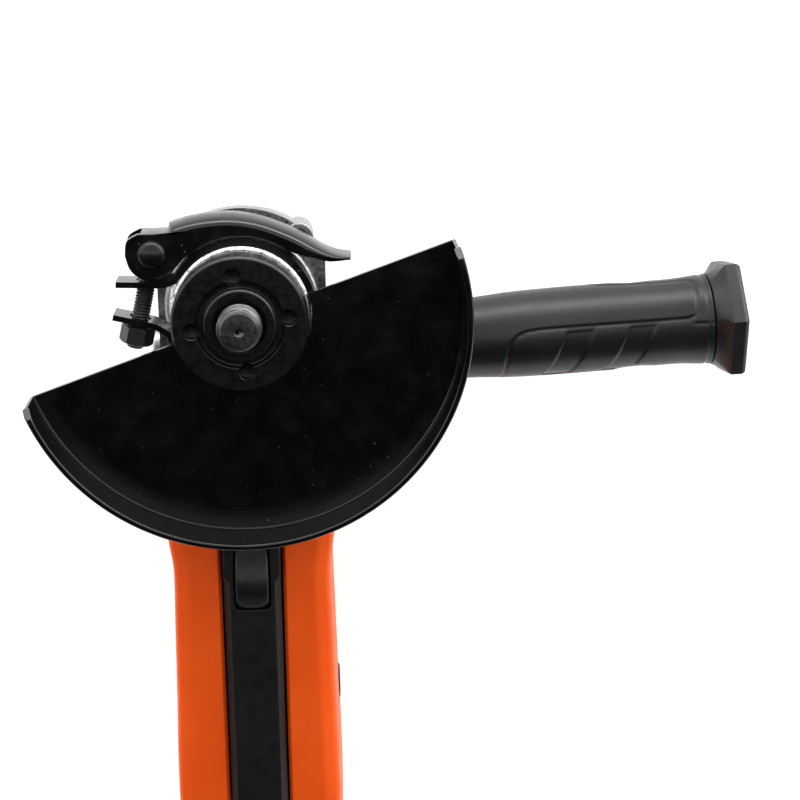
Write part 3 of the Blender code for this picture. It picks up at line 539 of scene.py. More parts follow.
def bearing_cover():
    """Cast cover with four screw lobes; the neck that carries the guard is turned bright."""
    turn = math.degrees(math.acos(HEAD_SIDE / COVER_NOSE_R))
    nose = arc(0, 0, COVER_NOSE_R, turn, 180 - turn, 44)
    tail = arc(0, 0, COVER_NOSE_R, 180 + turn, 360 - turn, 44)
    cover = prism("bearing_cover_plate", nose + tail, COVER_Z0, COVER_Z1)
    lobe = axis_profile([(0, COVER_Z0), (LOBE_R, COVER_Z0), (LOBE_R, LOBE_TOP, 0.7), (0, LOBE_TOP)], 0.0)
    joins = [turned("lobe", lobe, 40, spot((x, y, 0))) for x, y in SCREW_PLACES]
    neck = [(0, 53.0), (24.9, 53.0), (24.8, 58.2, 1.2), (24.3, 60.4, 1.0), (NECK_R, 62.2, 1.4),
            (NECK_R, 72.4, 0.2), (NECK_R - 0.35, 72.7, 0.1), (NECK_R - 0.35, 73.2, 0.1), (NECK_R, 73.5, 0.1),
            (NECK_R, NECK_TOP - 0.6, 0.3), (NECK_R - 0.7, NECK_TOP, 0.3), (0, NECK_TOP)]
    joins.append(turned("neck", axis_profile(neck, 0.4), 120))
    boolean(cover, *joins, operation="UNION")
    cuts = [rod(16.3, 50.0, 66.0, segments=64), rod(10.4, 65.0, 80.0, segments=64)]
    cuts += [rod(SCREW_BORE_R, 50.0, 62.0, spot((x, y, 0)), 20) for x, y in SCREW_PLACES]
    boolean(cover, *cuts)
    edges(cover, 0.4, 3)
    dress(cover, "housing", [CAST, MACHINED], "cast_alloy", "bearing_cover")
    machined_from, machined_within = 61.4, 24
    for face in cover.data.polygons:
        c = face.center / MM
        if c.z > machined_from and Vector((c.x, c.y)).length < machined_within:
            face.material_index = 1
    return cover


def six_lobe(r, count=60):
    """Outline of a six-lobe screw recess."""
    pts = []
    for i in range(count):
        a = 2 * math.pi * i / count
        reach = r * (0.86 + 0.14 * math.cos(6 * a))
        pts.append((reach * math.cos(a), reach * math.sin(a)))
    return pts


def cover_screws():
    """Black pan-head screws, each turned to its own angle."""
    for n, (x, y) in enumerate([(1, 1), (-1, 1), (-1, -1), (1, -1)]):
        place = spot((x * SCREW_X, y * SCREW_Y, COVER_Z1 + 1.1), (0, 0, 17 * n))
        head = [(0, -15.5), (1.9, -15.5), (1.9, 0), (3.6, 0), (3.6, 0.9, 0.5), (2.7, 1.65, 0.8), (0, 1.7)]
        screw = turned("cover_screw_%d_fine" % (n + 1), axis_profile(head, 0.15), 48, place)
        boolean(screw, prism("cut", six_lobe(1.9), 0.4, 4.0, place))
        dress(screw, "housing", BLACKED, "black_steel", "cover_screw_%d" % (n + 1))


def lock_button():
    """Spindle lock button with finger rings on its face."""
    profile = [(0, 1.3), (2.4, 1.3), (2.9, 0.9), (3.5, 1.3), (4.4, 1.3), (4.9, 0.9), (5.4, 1.3), (6.0, 1.0),
               (6.7, 0.95, 0.4), (7.6, 1.7, 0.6), (7.6, 4.0), (2.9, 4.0), (2.9, 13.6, 0.5), (0, 13.6)]
    button = turned("spindle_lock_button", axis_profile(profile, 0.2), 56, spot((0, BUTTON_Y, 0)))
    dress(button, "lock_button", PLASTIC, "black_plastic", "lock_button")


# ---------------------------------------------------------------- spindle stack
def thread_shape(pitch, depth, z0, z1, fade):
    """Radius function of a single-start V thread that runs out over the fade length at both ends."""
    def shape(r, a, z):
        if not z0 < z < z1:
            return r
        phase = (z / pitch - a / (2 * math.pi)) % 1.0
        groove = max(0.0, 1.0 - abs(phase - 0.5) / 0.42)
        strength = min(1.0, (z - z0) / fade, (z1 - z) / fade)
        return r - depth * groove * max(0.0, strength)
    return shape


def spindle_shaft():
    """Threaded spindle: a 2 mm pitch thread that runs out through the tip's chamfer, centre drilled."""
    thread_z0, chamfer_z0 = 75.6, 93.2
    rows = [(THREAD_R, thread_z0 + 0.2 * i) for i in range(89)]
    rows += [(THREAD_R - 0.1 * i, chamfer_z0 + 0.193 * i) for i in range(1, 14)]
    tip = soften([(5.6, 95.8), (5.5, SPINDLE_TIP, 0.25), (1.6, SPINDLE_TIP, 0.2),
                  (1.0, 95.2, 0.2), (0.9, 93.6, 0.2), (0, 93.4)], 0.2, 4, closed=False)
    lower = [(0, 10.4), (4.0, 10.4), (4.6, 11.0), (4.6, 18.0), (8.0, 18.0), (8.0, 73.0), (9.6, 73.0),
             (9.6, 75.4), (THREAD_R, 75.4)]
    shape = thread_shape(2.0, 0.85, thread_z0, SPINDLE_TIP, 0.6)
    shaft = turned("spindle_shaft", lower + rows + tip, 96, shape=shape, sharp=60)
    dress(shaft, "spindle", STEEL, "steel", "spindle", weighted=False)


def backing_flange():
    """Flange behind the disc."""
    profile = [(BORE_R, FLANGE_Z0), (19.6, FLANGE_Z0, 0.4), (FLANGE_R, FLANGE_Z0 + 1.0, 0.4),
               (FLANGE_R, FLANGE_Z1, 0.35), (BORE_R, FLANGE_Z1)]
    flange = turned("backing_flange_ring", axis_profile(profile, 0.2), 120)
    dress(flange, "spindle", BLACKED, "black_steel", "backing_flange")


def clamping_nut():
    """Round nut with its pilot outward, a groove round the pilot and four pin holes."""
    profile = [(BORE_R, NUT_Z0), (NUT_R, NUT_Z0, 0.4), (NUT_R, NUT_Z1 - 0.9, 0.3), (NUT_R - 0.8, NUT_Z1, 0.3),
               (13.6, NUT_Z1, 0.4), (13.0, NUT_Z1 - 0.95, 0.4), (PILOT_R + 0.2, NUT_Z1 - 0.95, 0.3),
               (PILOT_R, NUT_Z1 - 0.2, 0.3), (PILOT_R, PILOT_Z1 - 0.6, 0.2), (PILOT_R - 0.6, PILOT_Z1, 0.25),
               (8.3, PILOT_Z1, 0.3), (BORE_R, PILOT_Z1 - 1.0)]
    nut = turned("clamping_nut", axis_profile(profile, 0.2), 144)
    hole = [(0, 82.0), (PIN_HOLE_R, 82.4), (PIN_HOLE_R, NUT_Z1 - 0.12), (PIN_HOLE_R + 0.15, NUT_Z1 + 0.05),
            (PIN_HOLE_R + 0.15, NUT_Z1 + 2), (0, NUT_Z1 + 2)]
    for k in range(4):
        a = math.radians(PIN_HOLE_TURN + 90 * k)
        place = spot((PIN_CIRCLE_R * math.cos(a), PIN_CIRCLE_R * math.sin(a), 0))
        boolean(nut, turned("cut", hole, 36, place))
    nut.data.shade_smooth()
    nut.data.set_sharp_from_angle(angle=math.radians(38))
    dress(nut, "clamp_nut", BLACKED, "black_steel", "clamp_nut")


# ---------------------------------------------------------------- guard and clamp
def guard():
    """One sheet swept round the axis: plate, bend, skirt and the hem rolled over at the rim."""
    inner, outer = GUARD_R - GUARD_T, GUARD_R
    bead, lip = GUARD_R + BEAD_OUT, GUARD_R - BEAD_IN
    rolled = [(outer, SKIRT_Z1 - 3.3, 0.5), (bead, SKIRT_Z1 - 2.7, 0.5), (bead, SKIRT_Z1 - 0.6, 0.5),
              (bead - 0.5, SKIRT_Z1, 0.4), (lip + 0.4, SKIRT_Z1, 0.4), (lip, SKIRT_Z1 - 0.5, 0.4),
              (lip, SKIRT_Z1 - 2.6, 0.4), (inner, SKIRT_Z1 - 3.0, 0.3)]
    path = [(GUARD_MOUTH_R, PLATE_Z0, 0.3), (48.0, PLATE_Z0, 0), (outer, PLATE_Z0, 2.0), *rolled,
            (inner, PLATE_Z1, 0.7), (48.0, PLATE_Z1, 0), (GUARD_MOUTH_R, PLATE_Z1, 0.4)]
    section = soften(path, 0.3, 5)
    steps, length = 150, math.radians(180) * GUARD_R
    near_end = [d / length for d in (0.0, 0.4, 0.9, 1.5, 2.2, 3.0)]      # rows for the trimmed corners
    middle = [i / steps for i in range(steps + 1) if 0.02 < i / steps < 0.98]
    sections = []
    for u in sorted(set(near_end + [1 - d for d in near_end] + middle)):
        trim = SKIRT_Z1 - 3.1 + min(u, 1 - u) * length
        ring = []
        for r, z in section:
            drop = math.asin(GUARD_EDGE_DROP / r)
            a0 = math.radians(180 + GUARD_EDGE_ANGLE) + drop
            a1 = math.radians(360 + GUARD_EDGE_ANGLE) - drop
            a = a0 + (a1 - a0) * u
            ring.append((r * math.cos(a), r * math.sin(a), min(z, trim) if r > 60 else z))
        sections.append(ring)
    plate = loft("wheel_guard", sections, sharp=40)
    dress(plate, "guard", PAINT, "black_paint", "guard")


def strip(path, thickness):
    """The outline of a sheet-metal strip that follows a path, seen along its width."""
    pts = [Vector(p) for p in path]
    left, right = [], []
    for i, p in enumerate(pts):
        before = (p - pts[i - 1]).normalized() if i else None
        after = (pts[i + 1] - p).normalized() if i + 1 < len(pts) else None
        along = ((before or after) + (after or before)).normalized()
        normal = Vector((-along.y, along.x))
        reach = thickness / 2 / max(0.5, normal.dot(Vector((-(after or before).y, (after or before).x))))
        left.append(tuple(p + normal * reach))
        right.append(tuple(p - normal * reach))
    return left + right[::-1]


def stud_place():
    """Place of the pivot with local Z down the clamp stud."""
    turn = STUD_DIR.to_track_quat("Z", "Y").to_matrix().to_4x4()
    return Matrix.Translation(Vector((PIVOT.x, PIVOT.y, STUD_Z))) @ turn


def clamp_band():
    """Sheet band round the neck with its two ends bent out as ears, drilled for the stud."""
    upper = soften([(-38.0, 10.5), (-23.8, 10.0, 1.6), (-20.0, 11.0)], 0, 5, closed=False)
    lower = soften([(-22.1, -5.8), (-26.0, -3.0, 2.5), (-39.4, 0.3)], 0, 5, closed=False)
    ring = arc(0, 0, BAND_MID_R, 150.6, -165.2, 110)
    band = prism("guard_clamp_band", strip(upper[:-1] + ring + lower[1:], BAND_T), BAND_Z0, BAND_Z1)
    boolean(band, rod(3.4, 4.0, 27.0, stud_place(), 32))
    edges(band, 0.45, 3)
    dress(band, "guard", PAINT, "black_paint", "clamp_band")


def eye_bolt():
    """Clamp stud: a fine thread on the shank, an eye round the pivot."""
    rows = [(STUD_R, 3.0 + 0.13 * i) for i in range(206)]
    tip = soften([(STUD_R, STUD_END - 1.0), (STUD_R - 0.05, STUD_END - 0.7, 0.2), (2.1, STUD_END, 0.3),
                  (0, STUD_END)], 0.1, 3, closed=False)
    thread = thread_shape(1.0, 0.42, 7.0, STUD_END - 0.4, 0.6)
    shank = turned("eye_bolt", [(0, 3.0)] + rows + tip, 40, stud_place(), thread, 60)
    pivot_place = spot((PIVOT.x, PIVOT.y, STUD_Z))
    ring = axis_profile([(2.6, -2.6, 0.3), (4.6, -2.6, 0.6), (4.6, 2.6, 0.6), (2.6, 2.6, 0.3)], 0.3)
    boolean(shank, turned("eye", ring, 48, pivot_place), operation="UNION")
    boolean(shank, rod(2.6, -4, 4, pivot_place, 40))
    dress(shank, "guard", OILED, "black_steel", "clamp_stud", weighted=False)


def hex_radius(corner, a):
    """Distance to the edge of a hexagon, corner across its corners' radius, at angle a."""
    local = a % math.radians(60) - math.radians(30)
    return corner * math.cos(math.radians(30)) / math.cos(local)


def adjusting_nut():
    """Hexagon nut whose corners are turned off by a cone at both faces."""
    z0, z1, corner = SMALL_NUT_S0, SMALL_NUT_S1, SMALL_NUT_CORNER

    def shape(r, a, z):
        if r < 4:
            return r
        cone = SMALL_NUT_FLAT - 0.15 + min(z - z0, z1 - z) * 1.75
        return min(hex_radius(corner, a), cone)
    heights = [z0 + (z1 - z0) * i / 40 for i in range(41)]
    profile = [(3.2, z1 - 0.4), (3.2, z0 + 0.4), (3.6, z0)] + [(corner, z) for z in heights] + [(3.6, z1)]
    nut = turned("adjusting_nut_hex", profile, 96, stud_place(), shape, turn=30)
    dress(nut, "adjusting_nut", OILED, "black_steel", "adjusting_nut")


def inset(points, amounts):
    """Moves each point of a counter-clockwise outline inward by its own amount."""
    out, n = [], len(points)
    for i, p in enumerate(points):
        a, b = Vector(points[i - 1]), Vector(points[(i + 1) % n])
        along = (b - a).normalized()
        out.append(tuple(Vector(p) + Vector((-along.y, along.x)) * amounts[i]))
    return out


LEVER_OUTER = [(-35.0, 19.4), (-34.2, 24.0), (-30.6, 26.2), (-22.0, 26.2), (-21.4, 28.2), (-16.0, 29.8),
               (-9.0, 30.9), (-1.0, 31.0), (7.0, 29.5), (14.6, 26.6), (20.2, 23.8), (25.8, 20.4),
               (30.2, 18.4), (34.6, 17.6)]
LEVER_INNER = [(34.4, 16.4), (28.0, 15.9), (23.6, 17.0), (17.4, 18.6), (12.4, 21.4), (6.4, 23.8),
               (0.0, 24.6), (-6.4, 23.8), (-12.0, 21.5), (-17.0, 17.8), (-19.4, 15.2), (-24.4, 12.6),
               (-29.4, 11.7), (-33.4, 14.6)]
# how far the lever's outer edge has rolled in at each height
LEVER_ROLL = [(62.2, 0.5), (62.5, 0.15), (63.0, 0.0), (66.0, 0.0), (68.0, 0.15), (70.0, 0.5), (71.4, 0.9),
              (72.4, 1.4), (73.0, 2.0), (73.3, 2.5), (73.4, 3.0)]
ARM_START_X, ARM_TIP_X, ROLL_FADE = -21.9, 36.0, 14.0
CHEEK_ROLL = 0.12              # share of the roll on the cheeks and the inner edge


def clamp_lever():
    """Pressed lever: flat cheeks, an arm whose outer edge rolls over in a broad radius."""
    outer = smooth_rows(LEVER_OUTER[:3], 5)[:-1] + [LEVER_OUTER[2], (-26.0, 26.2), (-22.3, 26.3)]
    outer += [(-21.7, 26.9)] + smooth_rows(LEVER_OUTER[4:], 6)
    inner = smooth_rows(LEVER_INNER + [LEVER_OUTER[0]], 5)[:-1]
    outline = (outer + inner)[::-1]
    shares = []
    for x, y in outline:
        on_arm = (x, y) in outer and x > ARM_START_X
        toward_tip = min(1.0, (ARM_TIP_X - x) / ROLL_FADE)
        shares.append(max(CHEEK_ROLL, toward_tip) if on_arm else CHEEK_ROLL)
    sections = []
    for z, depth in LEVER_ROLL:
        moved = inset(outline, [depth * share for share in shares])
        sections.append([(x, y, z) for x, y in moved])
    lever = loft("clamp_lever_arm", sections)
    slot = soften([(-40, 8), (-40, 30), (-30.6, 30), (-29.4, 24.4, 1.5), (-20.6, 24.4, 1.5),
                   (-14.0, 27.6, 2.0), (-1.0, 29.0, 3.0), (7.0, 27.5, 3.0), (14.0, 24.6, 3.0),
                   (20.0, 21.6, 2.0), (23.0, 18.0, 1.0), (23.0, 10.0), (0, 8)], 0.0, 5)
    boolean(lever, prism("cut", slot, 64.2, 71.4), rod(2.5, 60, 76, spot((PIVOT.x, PIVOT.y, 0)), 40))
    edges(lever, 0.3, 3, 45)
    dress(lever, "clamp_lever", PAINT, "black_paint", "clamp_lever")


def pivot_pin():
    """Domed rivet through the lever and the eye."""
    profile = [(0, 61.2), (3.1, 61.2, 0.2), (3.4, 61.9, 0.1), (2.2, 61.9), (2.2, 73.7), (4.4, 73.7, 0.15),
               (4.4, 74.2, 0.3), (3.7, 75.25, 0.7), (2.2, 76.05, 0.8), (0.9, 76.38, 0.6), (0, 76.4)]
    rivet = turned("pivot_rivet", axis_profile(profile, 0.2, 5), 56, spot((PIVOT.x, PIVOT.y, 0)))
    dress(rivet, "guard", BLACKED, "black_steel", "pivot_pin")


# ---------------------------------------------------------------- motor body
def half_section(half_w, z0, z1, deep, from_x, chamfer=0.0):
    """One side of the body's section; deep moves it inward, chamfer bevels the channel's edge."""
    r = 13.0 - deep
    w, low, high = half_w - deep, z0 + deep, z1 - deep
    start = [(from_x, high)]
    if chamfer:
        start = [(from_x, high - chamfer), (from_x + chamfer * 0.75, high - 0.05),
                 (from_x + chamfer * 0.75 + 0.3, high)]
    shoulder = soften([(from_x + 3.0, high, 0)] + [(w - dx, high - dz) for dx, dz in SHOULDER]
                      + [(w + 0.4, (low + high) / 2, 0)], 1.2, 3, closed=False)[1:]
    pts = start + shoulder + [(w + 0.2, (low + high) / 2 * 0.4 + (low + r) * 0.6)]
    pts += [(w - r + r * math.cos(math.radians(a)), low + r - r * math.sin(math.radians(a)))
            for a in range(0, 91, 6)]
    return pts + [(from_x, low)]


def air_slot(half_width, half_height, radius, x, y, z):
    """Cutter for a rounded slot through a side wall."""
    w, h = half_width, half_height
    outline = soften([(-w, -h, radius), (w, -h, radius), (w, h, radius), (-w, h, radius)], radius, 5)
    return prism("slot", outline, -8, 8, spot((x, y, z), (90, 0, 90)))


def brush_place(side):
    """Place of the brush cap on the right (1) or left (-1) shell; local Z points out."""
    return spot((side * BRUSH_X, BRUSH_Y, MOTOR_Z), (0, side * 90, 0))


def shell_screw_places():
    """Places of the screws in the left shell; local Z points out."""
    return [spot((-16.0, y, z), (0, -90, 0)) for y, z in SHELL_SCREWS]


def body_shells():
    """The two orange halves, with air slots, brush openings and, on the left, screw holes."""
    for tag, side in (("right", 1), ("left", -1)):
        sections = []
        for y, half_w, z0, z1 in smooth_rows(BODY_STATIONS, 6):
            ring = half_section(half_w, z0, z1, 0, CHANNEL + GAP, 1.4)
            ring += reversed(half_section(half_w, z0, z1, WALL, CHANNEL + GAP))
            sections.append([(side * x, y, z) for x, z in ring])
        shell = loft("motor_shell_" + tag, sections)
        cuts = [rod(6.8, 0, 12, brush_place(side), 48)]
        cuts += [air_slot(1.2, 8, 1.1, side * 29, -50.0 - 5.0 * k, 34.0) for k in range(4)]
        if side < 0:
            cuts += [rod(3.5, 0, 14, place, 32) for place in shell_screw_places()]
        boolean(shell, *cuts)
        edges(shell, 0.35, 2, 40)
        dress(shell, "housing", ORANGE, "orange_plastic", "body_shell_" + tag)


def back_spine():
    """Black strip along the body's back, grooved across for the hand."""
    c = CHANNEL
    sections = [[(-c, y, z0), (c, y, z0), (c, y, z0 + WALL), (-c, y, z0 + WALL)]
                for y, _half, z0, _top in smooth_rows(BODY_STATIONS, 2)]
    spine = loft("body_spine", sections)
    groove = soften([(-6.5, -0.7, 0.6), (6.5, -0.7, 0.6), (6.5, 0.7, 0.6), (-6.5, 0.7, 0.6)], 0.6, 4)
    boolean(spine, *[prism("groove", groove, -1.0, 0.7, spot((0, -60.0 - 5.4 * k, 0))) for k in range(26)])
    edges(spine, 0.3, 2)
    dress(spine, "housing", PLASTIC, "black_plastic", "back_spine")


def switch_tray():
    """Floor of the switch channel, with a raised bridge behind the gear head."""
    c = CHANNEL
    sections = []
    for y, z1 in ((-42.3, 57.6), (-60.0, 59.2), (-74.0, 60.4), (-75.0, 54.0), (-211.7, 54.0)):
        z0 = 52.4 if y < -70 else z1 - 3.0
        sections.append([(-c, y, z0), (c, y, z0), (c, y, z1), (-c, y, z1)])
    tray = loft("switch_channel", sections)
    edges(tray, 0.5, 3)
    dress(tray, "housing", PLASTIC, "black_plastic", "switch_tray")


def paddle_switch():
    """Long paddle, chamfered along its sides, with a pocket for the lock-off tongue."""
    half, bottom = CHANNEL - GAP, 57.6
    # y, height of the top, width of the side chamfer
    tops = [(-80.0, 63.4, 0.4), (-89.4, 63.7, 0.4), (-92.2, 63.8, 2.2), (-118.0, 64.0, 2.2),
            (-170.0, 64.0, 2.2), (-182.0, 62.8, 2.2), (-186.0, 61.0, 1.6)]
    sections = []
    for y, z1, side in tops:
        right = [(half, bottom), (half, z1 - side * 1.1), (half - side, z1)]
        ring = [(-half, bottom)] + right + [(side - half, z1), (-half, z1 - side * 1.1)]
        sections.append([(x, y, z) for x, z in ring])
    paddle = loft("paddle", sections)
    pocket = soften([(-5.9, -101.4, 2.0), (5.9, -101.4, 2.0), (5.9, -75.0), (-5.9, -75.0)], 0.0, 6)
    boolean(paddle, prism("cut", pocket, 58.6, 70))
    edges(paddle, 0.45, 3, 25)
    dress(paddle, "paddle", PLASTIC, "black_plastic", "paddle_switch")


def lock_off_tongue():
    """Rounded tab with a convex face, about its own axis."""
    # y, height of the face, half width
    profile = [(12.6, 0.0, 5.3), (9.0, 1.6, 5.4), (4.0, 3.9, 5.4), (0.0, 5.0, 5.4), (-4.0, 4.9, 5.4),
               (-7.0, 3.9, 5.3), (-8.6, 3.2, 4.4), (-9.4, 2.6, 3.0)]
    sections = []
    for y, z, half in smooth_rows(profile, 5):
        low = max(z - 3.0, -1.8)
        right = [(half, z - 0.9), (half - 0.25, z - 0.3), (half - 0.8, z), (half - 2.5, z)]
        ring = [(-half, low), (half, low)] + right + [(-x, h) for x, h in reversed(right)]
        sections.append([(x, y, h) for x, h in ring])
    tongue = loft("lock_off_tab", sections, spot(TONGUE_AT))
    edges(tongue, 0.3, 3, 45)
    dress(tongue, "lock_off_tongue", PLASTIC, "black_plastic", "lock_off_tongue")


def whole_sections(stations, parts):
    """Both sides of the body's section at each row between the stations."""
    sections = []
    for y, half_w, z0, z1 in smooth_rows(stations, parts):
        ring = half_section(half_w, z0, z1, 0.0, 0.0)
        ring += [(-x, z) for x, z in reversed(ring[1:-1])]
        sections.append([(x, y, z) for x, z in ring])
    return sections


def rear_cover():
    """Hollow end cap with air slots at both sides."""
    cover = loft("rear_cap", whole_sections(COVER_STATIONS, 5))
    cuts = [loft("cut", whole_sections(COVER_HOLLOW, 4)), rod(6.4, 0, 20, spot(CORD_AT, (90, 0, 0)), 48)]
    for side in (1, -1):
        cuts += [air_slot(1.3, 10.4, 1.2, side * 26, -219.0 - 5.4 * k, 29.0) for k in range(5)]
    boolean(cover, *cuts)
    edges(cover, 0.35, 2, 45)
    dress(cover, "housing", PLASTIC, "black_plastic", "rear_cover")


def cord_collar():
    """Rubber collar where the mains cord would enter."""
    profile = [(3.9, 4.0), (6.0, 4.0), (6.0, 14.4), (8.4, 14.4, 0.5), (8.4, 16.0, 0.3), (7.9, 16.4, 0.2),
               (7.9, 17.2, 0.3), (8.1, 17.8, 0.3), (6.6, 20.0, 0.7), (3.9, 20.0, 0.6)]
    gland = turned("cord_collar", axis_profile(profile, 0.15), 56, spot(CORD_AT, (90, 0, 0)))
    dress(gland, "housing", GRIP, "soft_grip", "cord_gland")


def shell_screws():
    """Screws sunk in the left shell."""
    profile = [(0, 0), (1.7, 0), (1.7, 8.0), (3.1, 8.0), (3.1, 9.3, 0.3), (2.4, 10.0, 0.5), (0, 10.0)]
    for n, place in enumerate(shell_screw_places()):
        screw = turned("shell_screw_%d_fine" % (n + 1), axis_profile(profile, 0.15), 40, place)
        boolean(screw, prism("cut", six_lobe(1.6), 8.6, 12.0, place))
        dress(screw, "housing", BLACKED, "black_steel", "shell_screw_%d" % (n + 1))


def brush_caps():
    """Slotted caps over the brushes."""
    profile = [(0, 0), (5.0, 0), (5.0, 5.0), (6.4, 5.6), (6.4, 7.3, 0.4), (5.8, 7.9, 0.4), (0, 7.9)]
    for side, tag in ((1, "right"), (-1, "left")):
        cap = turned("brush_cap_%s_fine" % tag, axis_profile(profile, 0.2), 56, brush_place(side))
        boolean(cap, box("slot", (-0.9, -5.2, 6.8), (0.9, 5.2, 9.0), brush_place(side)))
        edges(cap, 0.2, 2, 60)
        dress(cap, "housing", PLASTIC, "black_plastic", "brush_cap_" + tag)


# ---------------------------------------------------------------- side handle
# grooves on the grip: distance along the handle, angle from the top toward the nose
PANEL_GROOVE = [(84, 101), (85.2, 95), (87.5, 88), (91, 84), (96, 82.6), (112, 82), (115.5, 81),
                (117.8, 77.5), (118.7, 71), (118.9, 49), (118.5, 25), (117.6, 18.5), (115.2, 15.3),
                (102, 15.3), (87, 15.8), (72, 16.3), (65.5, 16.0), (61.4, 14.2), (58.6, 9.6), (56.9, 2.0),
                (55.6, -11), (54.5, -38), (53.6, -72)]
CREASE = [(117.5, 8.2), (123.4, 7.4)]
RIB_STARTS = [75.0, 84.0, 95.8, 104.8]
OVAL = (98.2, 108.0, 6.6, 4.4)     # distance, angle, half length and half width in millimetres
MM_PER_DEGREE = 0.252          # on the grip's surface
GRIP_START, RIBS_FROM, RIBS_TO, RIBS_BELOW = 18, 50, 116, 15.5
WRAP_FROM = -78                # the pattern's angles run from here over half a turn


def to_line(s, ang, line):
    """Distance in millimetres from a point on the grip to a polyline."""
    best = 99.0
    for (s0, a0), (s1, a1) in zip(line, line[1:]):
        ax, ay, bx, by = s0, a0 * MM_PER_DEGREE, s1, a1 * MM_PER_DEGREE
        dx, dy = bx - ax, by - ay
        px, py = s - ax, ang * MM_PER_DEGREE - ay
        u = max(0.0, min(1.0, (px * dx + py * dy) / (dx * dx + dy * dy)))
        best = min(best, math.hypot(px - u * dx, py - u * dy))
    return best


def valley(distance, width, depth):
    """Smooth round-bottomed groove."""
    return depth * math.exp(-(distance / (width * 0.5)) ** 2) if distance < width * 2 else 0.0


def ease(x):
    """Smooth step from 0 to 1."""
    x = max(0.0, min(1.0, x))
    return x * x * (3 - 2 * x)


def grip_shape(r, a, s):
    """Moulded detail of the grip; it repeats on the opposite side."""
    if s < GRIP_START or r < 8:
        return r
    ang = (180 - math.degrees(a) - WRAP_FROM) % 180 + WRAP_FROM
    cut = valley(to_line(s, ang, PANEL_GROOVE), 1.15, 0.55)
    cut = max(cut, valley(to_line(s, ang, CREASE), 0.9, 0.3))
    cut = max(cut, valley(abs(s - 122.4), 1.1, 0.5))
    if RIBS_FROM < s < RIBS_TO and ang < RIBS_BELOW:
        lean = s + (14 - ang) * 0.105
        step = sum(ease((lean - start) / 0.7) * (1 if k % 2 == 0 else -1)
                   for k, start in enumerate(RIB_STARTS))
        inside = ease((15 - ang) * MM_PER_DEGREE / 1.5)
        cut += 0.5 * step * inside
    u, v = (s - OVAL[0]) / OVAL[2], (ang - OVAL[1] + (180 if ang < 0 else 0)) * MM_PER_DEGREE / OVAL[3]
    oval = math.hypot(u, v)
    cut = max(cut, 0.5 * ease((1.08 - oval) / 0.16))
    return r - cut


def grip():
    """Rubber grip: finger collar, a dense shaft for the moulded pattern, and a closed end."""
    shaft = [(15.6, 14.6), (22.0, 13.3), (34.0, 13.1), (46.0, 13.5), (58.0, 14.3), (72.0, 14.6), (92.0, 14.6),
             (106.0, 14.3), (114.0, 14.4), (121.0, 15.0), (124.0, 15.2)]
    smooth = smooth_rows(shaft, 40)
    dense = []
    s, k = 15.6, 0
    while s < 123.7:
        while k < len(smooth) - 2 and smooth[k + 1][0] < s:
            k += 1
        (s0, r0), (s1, r1) = smooth[k], smooth[k + 1]
        dense.append((r0 + (r1 - r0) * (s - s0) / (s1 - s0), s))
        s += 0.4 if s > RIBS_FROM else 1.2
    head = soften([(4.3, 4.4, 0.0), (11.6, 4.4, 0.6), (14.2, 6.4, 1.2), (20.6, 8.0, 1.0), (21.8, 9.4, 0.9),
                   (21.8, 11.2, 0.9), (20.4, 12.6, 1.0), (14.9, 15.2, 1.6)], 0.5, 5, closed=False)
    tail = [(15.15, 123.7), (14.9, 124.0), (0, 124.0), (0, 17.0), (4.3, 17.0)]
    body = turned("handle_grip_fine", head + dense + tail, 224, handle_place(), grip_shape, 60)
    dress(body, "side_handle", GRIP, "soft_grip", "handle_grip", weighted=False)


def cap_ring(r, z, flat, count=96):
    """A ring that is round at flat=0 and a hexagon, r across its corners, at flat=1."""
    pts = []
    for i in range(count):
        a = 2 * math.pi * i / count
        reach = (1 - flat) * r + flat * hex_radius(r, a)
        turned_a = a + math.radians(180 - CAP_TURN)
        pts.append((reach * math.cos(turned_a), reach * math.sin(turned_a), z))
    return pts


def handle_place():
    """Place of the side handle; local Z points outward along it."""
    return spot(HANDLE_AT, (0, 90, HANDLE_YAW))


def end_cap():
    """Hexagonal cap: a round throat flaring to the flats, and a dished end."""
    # radius, distance along the handle, how hexagonal
    rings = [(15.1, 124.35, 0.0), (15.35, 124.5, 0.02), (16.0, 125.2, 0.14), (17.2, 126.2, 0.45),
             (19.2, 127.6, 0.8), (20.7, 128.75, 0.96), (21.05, 129.1, 0.98), (21.1, 129.5, 0.98),
             (21.2, 132.4, 0.98), (21.1, 132.9, 0.98), (20.7, 133.6, 0.97), (20.1, 134.05, 0.96),
             (19.4, 134.2, 0.95), (16.4, 134.2, 0.8), (16.0, 134.0, 0.7), (15.4, 133.4, 0.5),
             (15.0, 133.2, 0.4)]
    cap = loft("handle_cap", [cap_ring(r, z, f) for r, z, f in rings], handle_place(), 30)
    dress(cap, "side_handle", GRIP, "black_plastic", "handle_end_cap")


def handle_metal():
    """Threaded stud and washer between the grip and the gear case."""
    rows = [(3.9, -8.2 + 0.16 * i) for i in range(150)]
    profile = [(0, -9.0), (3.3, -9.0), (3.7, -8.5)] + rows + [(3.9, 16.0), (0, 16.0)]
    thread = thread_shape(1.25, 0.5, -8.6, 15.4, 0.6)
    stud = turned("handle_stud_fine", profile, 56, handle_place(), thread, 60)
    dress(stud, "side_handle", STEEL, "steel", "handle_stud", weighted=False)
    washer = axis_profile([(4.3, 0.9), (9.0, 0.9, 0.5), (9.0, 4.0, 0.5), (4.3, 4.0)], 0.2)
    collar = turned("handle_washer", washer, 64, handle_place())
    dress(collar, "side_handle", STEEL, "steel", "handle_collar")


